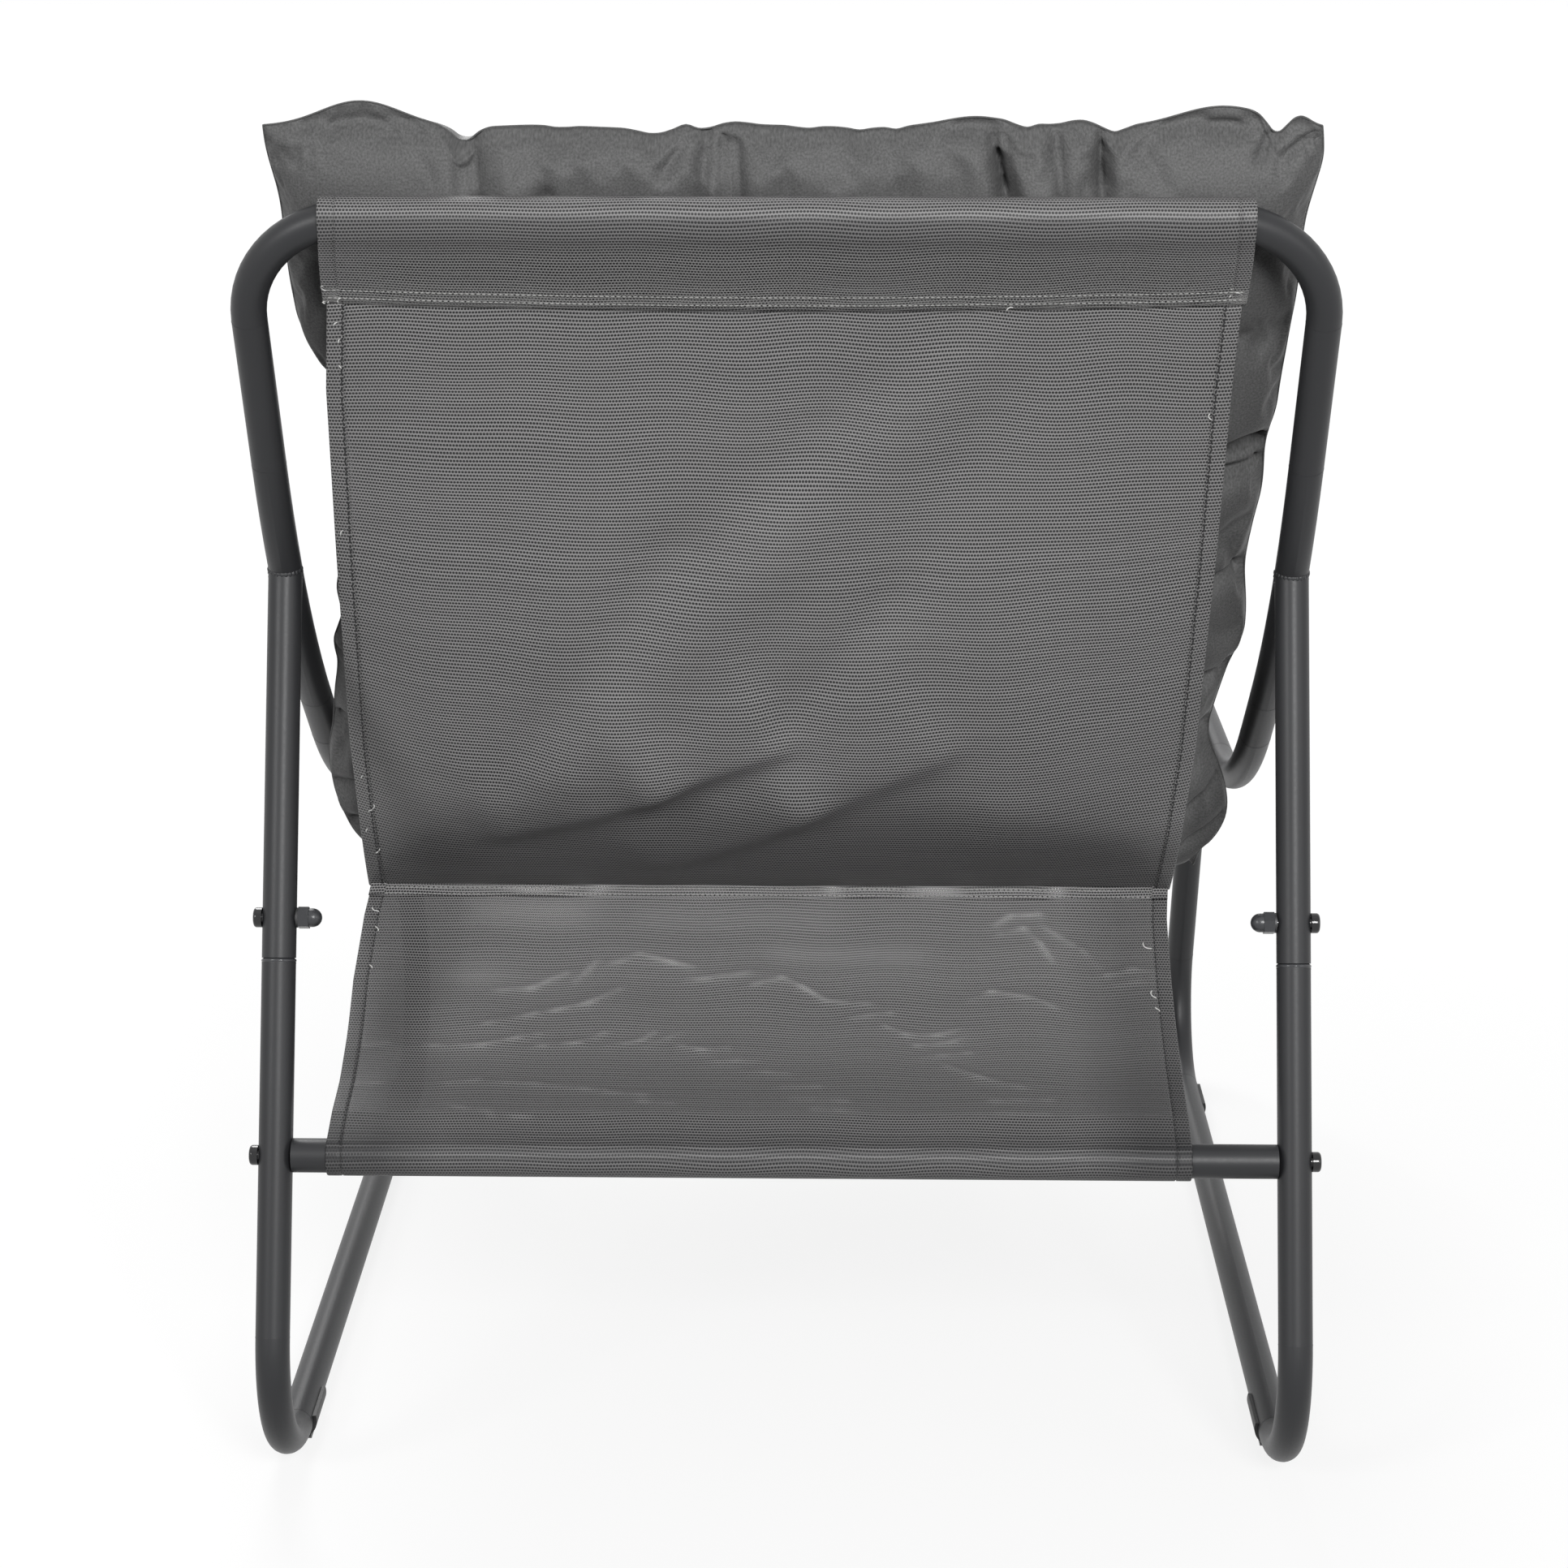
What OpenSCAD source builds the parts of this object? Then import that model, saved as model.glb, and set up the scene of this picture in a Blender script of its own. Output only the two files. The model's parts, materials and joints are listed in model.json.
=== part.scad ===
// Outdoor lounge chair: a bent steel tube frame on a straight sled base, a mesh
// sling hung from three bars, and a loose tufted cushion that lifts off.
// Millimetres. +Z is up, -Y is the front of the chair, +X is the sitter's left.
// The origin is on the floor, under the middle of the whole chair.

/* [Frame tube] */
// Outer diameter of every frame tube
tube_d = 22; // [19:0.5:28]
// Wall of every frame tube
tube_wall = 1.2; // [1:0.1:2]
// Width over the outsides of the two side tubes
frame_w = 675; // [560:5:760]
// Centreline radius of the floor bends and of the top corners
bend_r = 72; // [50:1:90]

/* [Base] */
// Straight length of each floor runner, between its bends
runner_len = 597; // [500:1:680]
// Lean of the rear legs from upright
rear_leg_lean = 21.2; // [14:0.1:26]
// Lean of the front legs from upright
front_leg_lean = 17.5; // [10:0.1:24]
// Height of the rear leg joint above the floor
rear_joint_h = 338; // [280:1:380]
// Height of the front leg joint above the floor
front_joint_h = 250; // [200:1:260]
// Length of the necked spigot that plugs into each leg socket
spigot_len = 52; // [40:1:60]
// Distance from a leg joint up to its bolt
bolt_up = 26; // [20:0.5:32]

/* [Back and seat frame] */
// Height of the top of the frame above the floor
frame_h = 826.5; // [760:0.5:900]
// How far the top bar stands in front of the rearmost point of the base
top_setback = 80; // [40:1:120]
// Recline of the straight part of the back from upright
recline = 24; // [18:0.5:28]
// Radius of the long sweep at the lower back
sweep_r = 560; // [450:5:650]
// Lean of the tube from upright at the foot of the sweep
sweep_lean = 48; // [42:0.5:54]
// Straight length between the sweep and the seat bend
lower_run = 59; // [20:1:90]
// Radius of the bend from the back into the seat rail
seat_bend_r = 300; // [220:5:360]
// Height of the seat rail's centreline above the floor
rail_h = 347; // [330:1:370]
// Straight length of each seat rail
rail_len = 256; // [200:1:320]

/* [Cross bars] */
// Height of the rear bar's axis above the floor
rear_bar_h = 220; // [180:1:250]
// Distance of the front bar's axis behind the ends of the seat rails
front_bar_inset = 28; // [22:1:40]
// Length of the threaded plug in each bar end
plug_len = 24; // [18:1:40]

/* [Fasteners] */
// Thread diameter of every bolt
bolt_d = 8; // [6:1:8]
// Diameter of the bolt heads
head_d = 13; // [12:0.5:16]
// Height of the bolt heads
head_h = 5.5; // [4:0.5:7]
// Width across the flats of the dome nuts
nut_flats = 13; // [12:0.5:16]
// Height of the dome nuts over all
nut_h = 15; // [12:0.5:18]
// Thickness of the washers under the nuts
washer_t = 1.4; // [0.8:0.1:2]

/* [Feet and end caps] */
// Thickness of the plastic glide under a runner
glide_t = 3; // [2:0.5:6]
// Length of a glide along the runner
glide_len = 42; // [30:1:60]
// Distance from a glide to the nearer end of the straight runner
glide_set = 4; // [2:1:40]
// Wall of the glide where it grips the tube
glide_wall = 2.2; // [1.5:0.1:3]
// Thickness of the rim of a rail end cap
cap_rim = 3; // [2:0.5:6]

/* [Sling] */
// Gap between each edge of the mesh sling and the side tube beside it
sling_gap = 35; // [25:1:60]
// Thickness of the mesh
sling_t = 1; // [0.6:0.1:1.5]
// Depth of the sewn pocket below the top bar
top_pocket = 66; // [40:1:80]
// Depth of the sewn pockets at the rear and front bars
bar_pocket = 28; // [20:1:40]
// Width of the folded side hems
hem_w = 11; // [8:0.5:16]
// Distance of the sling's crease in front of the rearmost point of the base
crease_set = 286; // [260:1:310]
// Height of the crease above the floor
crease_h = 326; // [315:1:330]
// Rearward belly of the back panel, where the cushion leans on it
back_belly = 28; // [0:0.5:32]
// Dip of the tail panel between the crease and the rear bar
tail_sag = 10; // [0:0.5:16]
// Sideways pull of the sling at the top bar
top_shift = -3; // [-10:1:10]
// Sideways pull of the sling at the crease
crease_shift = 15; // [-20:1:20]
// Sideways pull of the sling at the rear bar
bar_shift = 18; // [-20:1:20]

/* [Cushion] */
// Gap between each side seam of the cushion and the side tube beside it
cushion_gap = 2.5; // [2:0.5:30]
// Height of the cushion's top seam above the floor
cushion_h = 864; // [800:1:920]
// How far the cushion's front seam reaches past the seat rails
cushion_reach = 16; // [5:1:40]
// Height of the edge seam above the sling
seam_up = 34; // [20:1:45]
// Full thickness of the pillows between the tufts
crown = 84; // [60:1:100]
// Depth of a tuft below the pillows
tuft_dip = 42; // [10:1:50]
// Distance between tuft columns
tuft_pitch = 126; // [100:1:140]
// Pull of each tuft line on the cushion's edge
edge_pull = 9; // [0:1:14]
// Rise of the pinched ears beside the top corners
ear = 15; // [0:1:20]

/* [Clearances] */
// Clearance of a spigot in its socket, on the radius
spigot_clear = 0.15; // [0.05:0.05:0.3]
// Clearance of a bolt in its hole, on the radius
hole_clear = 0.2; // [0.1:0.05:0.5]
// Clearance of a plug, nut or cap on what it fits, on the radius
plug_clear = 0.05; // [0.02:0.01:0.2]
// Gap between parts that are drawn up against a tube
seat_gap = 0.1; // [0.05:0.05:0.3]
// Gap between the cloth parts and what they lie on
soft_gap = 0.3; // [0.2:0.05:0.5]

/* [Hidden] */
$fn = 48;
over = 1;
lap = 0.6;
lap_skin = 0.1;
side_x = (frame_w - tube_d) / 2;
tube_r = tube_d / 2;
bore_r = tube_r - tube_wall;
inside_w = frame_w - 2 * tube_d;
sling_w = inside_w - 2 * sling_gap;
cushion_w = inside_w - 2 * cushion_gap;
charcoal = [0.17, 0.17, 0.18];
mesh_grey = [0.33, 0.33, 0.34];
cloth_grey = [0.36, 0.36, 0.37];
black = [0.08, 0.08, 0.08];

// Heights and depths of the side frame, as points [y, z].
run_z = glide_t + tube_r;
top_z = frame_h - tube_r;
sweep_z = rail_h + seat_bend_r * (1 - sin(sweep_lean)) + lower_run * cos(sweep_lean)
        + sweep_r * (sin(sweep_lean) - sin(recline));
back_len = (top_z - sweep_z) / cos(recline);
back_reach = top_setback + back_len * sin(recline)
           + sweep_r * (cos(recline) - cos(sweep_lean))
           + lower_run * sin(sweep_lean) + seat_bend_r * cos(sweep_lean);
depth = back_reach + rail_len + cushion_reach;
rear_y = depth / 2;
top_bar = [rear_y - top_setback, top_z];
rail_end_y = rear_y - back_reach - rail_len;
rear_bend = [rear_y - tube_r - bend_r, run_z + bend_r];
front_bend = [rear_bend.x - runner_len, run_z + bend_r];
rear_foot = rear_bend + bend_r * [cos(rear_leg_lean), sin(rear_leg_lean)];
front_foot = front_bend + bend_r * [-cos(front_leg_lean), sin(front_leg_lean)];
function on_rear_leg(z) = [rear_foot.x - (z - rear_foot.y) * tan(rear_leg_lean), z];
function on_front_leg(z) = [front_foot.x + (z - front_foot.y) * tan(front_leg_lean), z];
rear_leg_len = (rear_joint_h - rear_foot.y) / cos(rear_leg_lean);
front_leg_len = (front_joint_h - front_foot.y) / cos(front_leg_lean);
rear_bar = on_rear_leg(rear_bar_h);
front_bar = [rail_end_y + front_bar_inset, rail_h];
crease = [rear_y - crease_set, crease_h];

rear_up = [-sin(rear_leg_lean), cos(rear_leg_lean)];
front_up = [sin(front_leg_lean), cos(front_leg_lean)];
rear_joint = on_rear_leg(rear_joint_h);
front_joint = on_front_leg(front_joint_h);
rear_bolt = rear_joint + bolt_up * rear_up;
front_bolt = front_joint + bolt_up * front_up;

// Where the axis of a rear leg meets the back tube: on its sweep, or on the straight above.
sweep_top = top_bar - back_len * [sin(recline), cos(recline)];
sweep_centre = sweep_top + sweep_r * [-cos(recline), sin(recline)];
from_centre = rear_joint - sweep_centre;
along = from_centre * rear_up;
reach_sweep = -along - sqrt(along * along - from_centre * from_centre + sweep_r * sweep_r);
to_line = sweep_top - rear_joint;
reach_line = (to_line.x * cos(recline) - to_line.y * sin(recline))
           / (rear_up.x * cos(recline) - rear_up.y * sin(recline));
rear_reach = rear_joint.y + reach_sweep * rear_up.y <= sweep_z ? reach_sweep : reach_line;
front_reach = (rail_h - front_joint_h) / cos(front_leg_lean);

// Leg spigots: the tube end necks in over a round shoulder to fit its socket's bore.
spigot_r = bore_r - spigot_clear;
spigot_bore = spigot_r - tube_wall;
shoulder = 3;
spigot_bevel = 1;

// Fasteners.
hole_r = bolt_d / 2 + hole_clear;
thread_r = bolt_d / 2 + plug_clear;
key_flats = bolt_d * 0.6;
key_depth = head_h * 0.5;
rim_r = 2;
nut_hex_h = nut_h * 0.45;
dome_r = nut_flats / 2 - 0.4;
nut_bore = nut_h - 4;
washer_d = nut_flats;
outer_face = side_x + tube_r + seat_gap;
inner_face = side_x - tube_r - seat_gap;
leg_shank = outer_face - inner_face + washer_t + nut_bore - 1;
bar_len = 2 * inner_face;
bar_shank = outer_face - inner_face + plug_len - 4;

// Glides and end caps.
cap_stem = 14;
cap_bevel = 1.2;
pad_w = 0.8 * tube_d;
pad_bevel = 2;
clip_h = 0.35 * tube_r;

// Lie of the sling panels. The mesh runs straight from each bar's tangent to the crease.
wrap_r = tube_r + soft_gap;
ply_r = wrap_r + 1.5 * sling_t;
function span(bar) = norm(bar - crease);
function flat(bar) = sqrt(span(bar) * span(bar) - ply_r * ply_r);
back_tilt = atan2(top_bar.x - crease.x, top_bar.y - crease.y) - asin(ply_r / span(top_bar));
seat_tilt = atan2(front_bar.y - crease.y, crease.x - front_bar.x) + asin(ply_r / span(front_bar));
tail_tilt = atan2(crease.y - rear_bar.y, rear_bar.x - crease.x) - asin(ply_r / span(rear_bar));
onto_corner = max(0, sling_w / 2 + abs(top_shift) - side_x + bend_r);
corner_drop = bend_r - sqrt(bend_r * bend_r - onto_corner * onto_corner);
crease_gap = 2 * sling_t;
sew_gap = 0.1;
wrap_steps = 14;
ply_steps = 16;

// Lie of the cushion's two sections, which meet on the plane that halves the fold.
rise = sling_t / 2 + soft_gap;
fold_slope = tan((90 + back_tilt - seat_tilt) / 2);
fold_thick = 6;
belly_fill = 0.9;
belly_low = 4;
ear_span = [0.6, 1.1];
ear_flare = 0.3;
back_pad_len = (cushion_h - crease.y - (rise + seam_up) * sin(back_tilt)) / cos(back_tilt);
seat_pad_len = (crease.x + depth / 2 + (rise + seam_up) * sin(seat_tilt)) / cos(seat_tilt);
pad_cells = 20;
seam_t = 3;

// Runs the shape of a 2D outline in [y, z] across the chair, centred on x.
module across(width, x = 0) {
    translate([x - width / 2, 0, 0])
        rotate([90, 0, 90])
            linear_extrude(width) children();
}

// Stands children on a point of the side frame, with +Z along a lean from upright.
module lean_at(point, lean, x = 0) {
    translate([x, point.x, point.y]) rotate([lean, 0, 0]) children();
}

// Part of a ring of solid round bar that starts along +Z and turns towards +X.
module elbow(radius, angle, r) {
    translate([radius, 0, 0])
        rotate([90, 0, 0])
            rotate([0, 0, 180 - angle])
                rotate_extrude(angle = angle) translate([radius, 0]) circle(r);
}

// Bent bar along +Z. A step is [length], or [radius, angle, roll] for a bend.
// A thin collar laps each joint between two steps, so that the run is one solid.
module bar_run(steps, r, i = 0) {
    if (i < len(steps)) {
        step = steps[i];
        if (i > 0) cylinder(h = lap, r = r + lap_skin, center = true);
        if (len(step) == 1) {
            cylinder(h = step[0], r = r);
            translate([0, 0, step[0]]) bar_run(steps, r, i + 1);
        } else {
            rotate([0, 0, step[2]]) {
                elbow(step[0], step[1], r);
                translate([step[0], 0, 0])
                    rotate([0, step[1], 0])
                        translate([-step[0], 0, 0]) bar_run(steps, r, i + 1);
            }
        }
    }
}

// Lengthens the first and last straights of a run, so that a bore cuts clear through.
function lengthen(steps) = [
    for (i = [0 : len(steps) - 1])
        i == 0 || i == len(steps) - 1 ? [steps[i][0] + over] : steps[i]
];

module tube_run(steps) {
    difference() {
        bar_run(steps, tube_r);
        translate([0, 0, -over]) bar_run(lengthen(steps), bore_r);
    }
}

// The back frame's run, from the front end of the left rail to that of the right.
rise_steps = [
    [rail_len],
    [seat_bend_r, 90 - sweep_lean, 0],
    [lower_run],
    [sweep_r, sweep_lean - recline, 0],
    [back_len - bend_r]
];
fall_steps = [
    [back_len - bend_r],
    [sweep_r, sweep_lean - recline, 90],
    [lower_run],
    [seat_bend_r, 90 - sweep_lean, 0],
    [rail_len]
];
top_steps = [[bend_r, 90, -90], [2 * (side_x - bend_r)], [bend_r, 90, 0]];
frame_steps = concat(rise_steps, top_steps, fall_steps);

module on_rail() {
    translate([side_x, rail_end_y, rail_h])
        rotate([-90, 0, 0])
            rotate([0, 0, -90]) children();
}

// Bolt hole through both walls of one side tube.
module cross_hole(side, point) {
    translate([side * side_x, point.x, point.y])
        rotate([0, 90, 0]) cylinder(h = tube_d + 2 * over, r = hole_r, center = true);
}

module back_frame() {
    color(charcoal) difference() {
        on_rail() tube_run(frame_steps);
        for (side = [-1, 1]) cross_hole(side, front_bar);
    }
}

// Leg socket: a tube coped onto the frame tube that it is welded to.
module leg_socket(side, joint, bolt_at, lean, reach) {
    color(charcoal) difference() {
        lean_at(joint, lean, side * side_x) difference() {
            cylinder(h = reach, r = tube_r);
            translate([0, 0, -over]) cylinder(h = reach + 2 * over, r = bore_r);
        }
        on_rail() bar_run(frame_steps, tube_r + seat_gap);
        cross_hole(side, bolt_at);
    }
}

module rear_socket(side) {
    leg_socket(side, rear_joint, rear_bolt, rear_leg_lean, rear_reach);
}

module front_socket(side) {
    leg_socket(side, front_joint, front_bolt, -front_leg_lean, front_reach);
}

module base_side(side) {
    steps = [
        [rear_leg_len - shoulder],
        [bend_r, 90 + rear_leg_lean, 0],
        [runner_len],
        [bend_r, 90 + front_leg_lean, 0],
        [front_leg_len - shoulder]
    ];
    rear_end = rear_joint - shoulder * rear_up;
    front_end = front_joint - shoulder * front_up;
    color(charcoal) difference() {
        union() {
            lean_at(rear_end, 180 + rear_leg_lean, side * side_x) rotate([0, 0, 90]) tube_run(steps);
            lean_at(rear_end, rear_leg_lean, side * side_x) spigot();
            lean_at(front_end, -front_leg_lean, side * side_x) spigot();
        }
        for (point = [rear_bolt, front_bolt, rear_bar]) cross_hole(side, point);
    }
}

// Necked tube end that starts where the full tube stops.
module spigot() {
    top = shoulder + spigot_len;
    neck = [
        for (a = [0 : 15 : 90])
            [spigot_r + (tube_r - spigot_r) * cos(a), shoulder * sin(a)]
    ];
    rotate_extrude() polygon(concat(
        [[bore_r - lap_skin, -lap], [tube_r + lap_skin, -lap], [tube_r + lap_skin, 0]],
        neck,
        [[spigot_r, top - spigot_bevel], [spigot_r - spigot_bevel, top]],
        [[spigot_bore, top], [spigot_bore, shoulder], [bore_r - lap_skin, 0]]
    ));
}

// Straight bar between the two sides, held by a bolt through each side tube.
module bar_tube(point) {
    color(charcoal) translate([0, point.x, point.y]) rotate([0, 90, 0]) difference() {
        cylinder(h = bar_len, r = tube_r, center = true);
        cylinder(h = bar_len + 2 * over, r = bore_r, center = true);
    }
}

// Threaded plugs, flush with the ends of a bar.
module bar_plugs(point) {
    color(charcoal) for (side = [-1, 1])
        translate([side * (inner_face - plug_len / 2), point.x, point.y])
            rotate([0, 90, 0]) difference() {
                cylinder(h = plug_len, r = bore_r - plug_clear, center = true);
                cylinder(h = plug_len + 2 * over, r = thread_r, center = true);
            }
}

// Bolt with a low round head above z = 0 and its shank below.
module bolt(shank) {
    difference() {
        union() {
            rotate_extrude() polygon(concat(
                [[0, 0], [head_d / 2, 0]],
                [
                    for (a = [0 : 15 : 90])
                        [head_d / 2 - rim_r + rim_r * cos(a), head_h - rim_r + rim_r * sin(a)]
                ],
                [[0, head_h]]
            ));
            translate([0, 0, -shank]) cylinder(h = shank, r = bolt_d / 2);
        }
        translate([0, 0, head_h - key_depth])
            cylinder(h = key_depth + over, d = key_flats / cos(30), $fn = 6);
    }
}

module side_bolts(point, shank) {
    color(charcoal) for (side = [-1, 1])
        translate([side * outer_face, point.x, point.y])
            rotate([0, side * 90, 0]) bolt(shank);
}

module side_washers(point) {
    color(charcoal) for (side = [-1, 1])
        translate([side * inner_face, point.x, point.y]) rotate([0, -side * 90, 0]) difference() {
            cylinder(h = washer_t, r = washer_d / 2);
            translate([0, 0, -over]) cylinder(h = washer_t + 2 * over, r = hole_r);
        }
}

// Six-sided nut with a domed, closed end.
module dome_nut() {
    difference() {
        union() {
            cylinder(h = nut_hex_h, d = nut_flats / cos(30), $fn = 6);
            cylinder(h = nut_h - dome_r, r = dome_r);
            translate([0, 0, nut_h - dome_r]) sphere(dome_r);
        }
        translate([0, 0, -over]) cylinder(h = nut_bore + over, r = thread_r);
    }
}

module side_nuts(point) {
    color(charcoal) for (side = [-1, 1])
        translate([side * (inner_face - washer_t), point.x, point.y])
            rotate([0, -side * 90, 0]) dome_nut();
}

// Plastic cap: a bevelled rim that covers the tube end, on a stem that plugs its bore.
module rail_cap(side) {
    color(black) translate([side * side_x, rail_end_y - seat_gap, rail_h]) rotate([90, 0, 0]) {
        rotate_extrude() polygon([
            [0, 0], [tube_r, 0], [tube_r, cap_rim - cap_bevel], [tube_r - cap_bevel, cap_rim],
            [0, cap_rim]
        ]);
        translate([0, 0, -cap_stem]) cylinder(h = cap_stem, r = bore_r - plug_clear);
    }
}

// Plastic glide: a clip round the lower part of the runner, on a flat bevelled pad.
module glide(side, y) {
    low = tube_r + glide_t;
    half = glide_len / 2;
    color(black) translate([side * side_x, y, run_z]) intersection() {
        rotate([90, 0, 0]) linear_extrude(glide_len, center = true) difference() {
            union() {
                intersection() {
                    circle(tube_r + glide_wall);
                    translate([-tube_d, clip_h - 2 * tube_d]) square(2 * tube_d);
                }
                translate([-pad_w / 2, -low]) square([pad_w, low]);
            }
            circle(tube_r + plug_clear);
        }
        across(4 * tube_d) polygon([
            [-half + pad_bevel, -low], [half - pad_bevel, -low], [half, pad_bevel - low],
            [half, tube_d], [-half, tube_d], [-half, pad_bevel - low]
        ]);
    }
}

rear_glide_y = rear_bend.x - glide_set - glide_len / 2;
front_glide_y = front_bend.x + glide_set + glide_len / 2;

// Path of a panel's cloth in [a, b], from the sewn end of its pocket's flap round the bar
// and along to the crease. a runs from the bar along the panel, and the main ply is at -b.
// The flap keeps clear of the bar for a distance of slack, and then closes in.
function flap_end(deep) = [deep, 3 * sling_t + sew_gap - ply_r];
function flap_angle(deep, slack) =
    let (end = flap_end(deep) - [slack, 0]) atan2(end.y, end.x) + acos(ply_r / norm(end));
function wrap_arc(from, to, steps, centre) = [
    for (i = [0 : steps])
        let (a = from + (to - from) * i / steps)
        [centre, 0] + ply_r * [cos(a), sin(a)]
];
function panel_path(deep, slack, length, dip) = concat(
    [flap_end(deep)],
    wrap_arc(flap_angle(deep, slack), 90, 2, slack),
    [for (p = wrap_arc(90, 270, wrap_steps, 0)) if (slack > 0 || p.y < ply_r) p],
    [
        for (i = [0 : ply_steps])
            let (q = i / ply_steps)
            [deep + (length - deep) * q, dip(q) - ply_r]
    ]
);

// Dips of the slack tail and of the back panel, from the pocket (0) to the crease (1).
function tail_dip(q) = 4 * tail_sag * q * (1 - q);
function back_dip(q) = back_belly * sin(180 * pow(q, belly_low));

// One section of a panel at a point of its path: flat outside, with a thicker folded hem
// inside along each edge. Gives ten points [x, a, b] in order round the section.
function section(point, dir, mid) =
    let (
        out = [dir.y, -dir.x] / norm(dir),
        half = sling_w / 2,
        corners = [
            [-half, -1.5], [hem_w - half, -1.5], [hem_w - half, -0.5], [half - hem_w, -0.5],
            [half - hem_w, -1.5], [half, -1.5], [half, 0.5], [half - hem_w, 0.5],
            [hem_w - half, 0.5], [-half, 0.5]
        ]
    )
    [
        for (c = corners)
            let (p = point + c[1] * sling_t * out)
            [mid + c[0], p.x, p.y]
    ];

// Panel from a bar to the crease, as one closed sheet. shift is its sideways pull at each end.
module panel(bar, deep, shift, slack = 0, dip = function(q) 0) {
    run = flat(bar);
    path = panel_path(deep, slack, run - crease_gap, dip);
    last = len(path) - 1;
    around = 10;
    points = [
        for (i = [0 : last], q = section(
            path[i],
            path[min(i + 1, last)] - path[max(i - 1, 0)],
            shift[0] + (shift[1] - shift[0]) * max(path[i].x, 0) / run
        )) q
    ];
    sides = [
        for (i = [0 : last - 1], k = [0 : around - 1])
            let (next = (k + 1) % around)
            [for (c = [[0, k], [0, next], [1, next], [1, k]]) (i + c[0]) * around + c[1]]
    ];
    cap = [[0, 1, 2], [0, 2, 8], [0, 8, 9], [2, 3, 7], [2, 7, 8], [5, 6, 7], [5, 7, 3], [5, 3, 4]];
    polyhedron(points, concat(
        [for (q = sides, t = [[q[0], q[2], q[1]], [q[0], q[3], q[2]]]) t],
        cap,
        [for (t = cap) [for (k = [2, 1, 0]) t[k] + last * around]]
    ));
}

module sling_back() {
    color(mesh_grey) translate([0, top_bar.x, top_bar.y])
        rotate([270 - back_tilt, 0, 0])
            panel(
                top_bar, top_pocket, [top_shift, crease_shift],
                slack = corner_drop, dip = function(q) back_dip(q)
            );
}

module sling_seat() {
    color(mesh_grey) translate([0, front_bar.x, front_bar.y])
        rotate([-seat_tilt, 0, 0])
            mirror([0, 0, 1]) panel(front_bar, bar_pocket, [0, crease_shift]);
}

// Slack tail from the rear bar up to the crease, where the three panels are sewn together.
module sling_tail() {
    color(mesh_grey) translate([0, rear_bar.x, rear_bar.y])
        rotate([180 - tail_tilt, 0, 0])
            panel(rear_bar, bar_pocket, [bar_shift, crease_shift], dip = function(q) tail_dip(q));
}

// Pull of the tuft rows and columns: 1 on a tuft line, 0 midway between two.
function row_pull(s, first) = (1 + cos(360 * (s - first) / tuft_pitch)) / 2;
function column_pull(x) = (1 - cos(360 * x / tuft_pitch)) / 2;

// Rounding of the pad towards its side seams (u) and its end seam (v).
function swell(u, v, sharp) = sqrt((1 - pow(abs(u), sharp)) * (1 - pow(v, 2 * sharp)));

// Rise of the ears across the pad, from 0 beside them to 1 at their tips.
function ear_rise(u) = sin(180 * max(0, abs(u) - ear_span[0]) / (ear_span[1] - ear_span[0]));

// How far the cushion fills the back panel's belly, at a distance s up from the crease.
function fill_belly(s) =
    let (q = (flat(top_bar) - s - top_pocket) / (flat(top_bar) - crease_gap - top_pocket))
    belly_fill * back_dip(min(1, max(0, q)));

// One point of a pad: u runs across from -1 to 1, v from the fold to the end seam.
// Gives [x, s, h]: across, along the sling and above it.
function pad_point(u, v, top, length, first, ears, fill) =
    let (
        s_line = fold_thick + v * (length - fold_thick),
        x = u * (cushion_w / 2 - edge_pull * row_pull(s_line, first) + ears * ear_flare * pow(v, 12)),
        s = s_line + pow(v, 3) * (ears * ear_rise(u) - edge_pull * column_pull(x)),
        tuft = pow(column_pull(x) * row_pull(s, first), 1.5),
        full = swell(u, v, 4),
        high = seam_up + seam_t / 2 + full * (crown - seam_up - tuft_dip * tuft),
        flat_part = swell(u, v, 6),
        low = (seam_up - seam_t / 2) * (1 - flat_part) - flat_part * fill(s),
        roof = min(high, s * fold_slope - rise - soft_gap)
    )
    [x, s, top ? roof : min(low, roof - seam_t)];

// Closed pad over a grid of cells. place() sets [x, s, h] into the chair.
module pad(length, ears, fill, place) {
    first = length - tuft_pitch / 2;
    n = pad_cells;
    row = n + 1;
    under = row * row;
    points = [
        for (top = [true, false], i = [0 : n], j = [0 : n])
            place(pad_point(2 * i / n - 1, j / n, top, length, first, ears, fill))
    ];
    at = function(i, j) i * row + j;
    quads = concat(
        [for (i = [0 : n - 1], j = [0 : n - 1]) [at(i, j), at(i, j + 1), at(i + 1, j + 1), at(i + 1, j)]],
        [
            for (i = [0 : n - 1], j = [0 : n - 1])
                [for (k = [at(i, j), at(i + 1, j), at(i + 1, j + 1), at(i, j + 1)]) under + k]
        ],
        [
            for (k = [0 : n - 1], pair = [
                [at(k, 0), at(k + 1, 0)], [at(k + 1, n), at(k, n)],
                [at(0, k + 1), at(0, k)], [at(n, k), at(n, k + 1)]
            ]) [pair[0], pair[1], under + pair[1], under + pair[0]]
        ]
    );
    polyhedron(points, [for (q = quads, t = [[q[0], q[1], q[2]], [q[0], q[2], q[3]]]) t]);
}

// Back section, from the fold up the sling and over the top bar.
module cushion_back() {
    up = [sin(back_tilt), cos(back_tilt)];
    out = [-cos(back_tilt), sin(back_tilt)];
    color(cloth_grey) pad(
        back_pad_len, ear, function(s) fill_belly(s),
        function(p)
            let (q = crease + p[1] * up + (p[2] + rise) * out)
            [p[0], q.x, q.y]
    );
}

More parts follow.
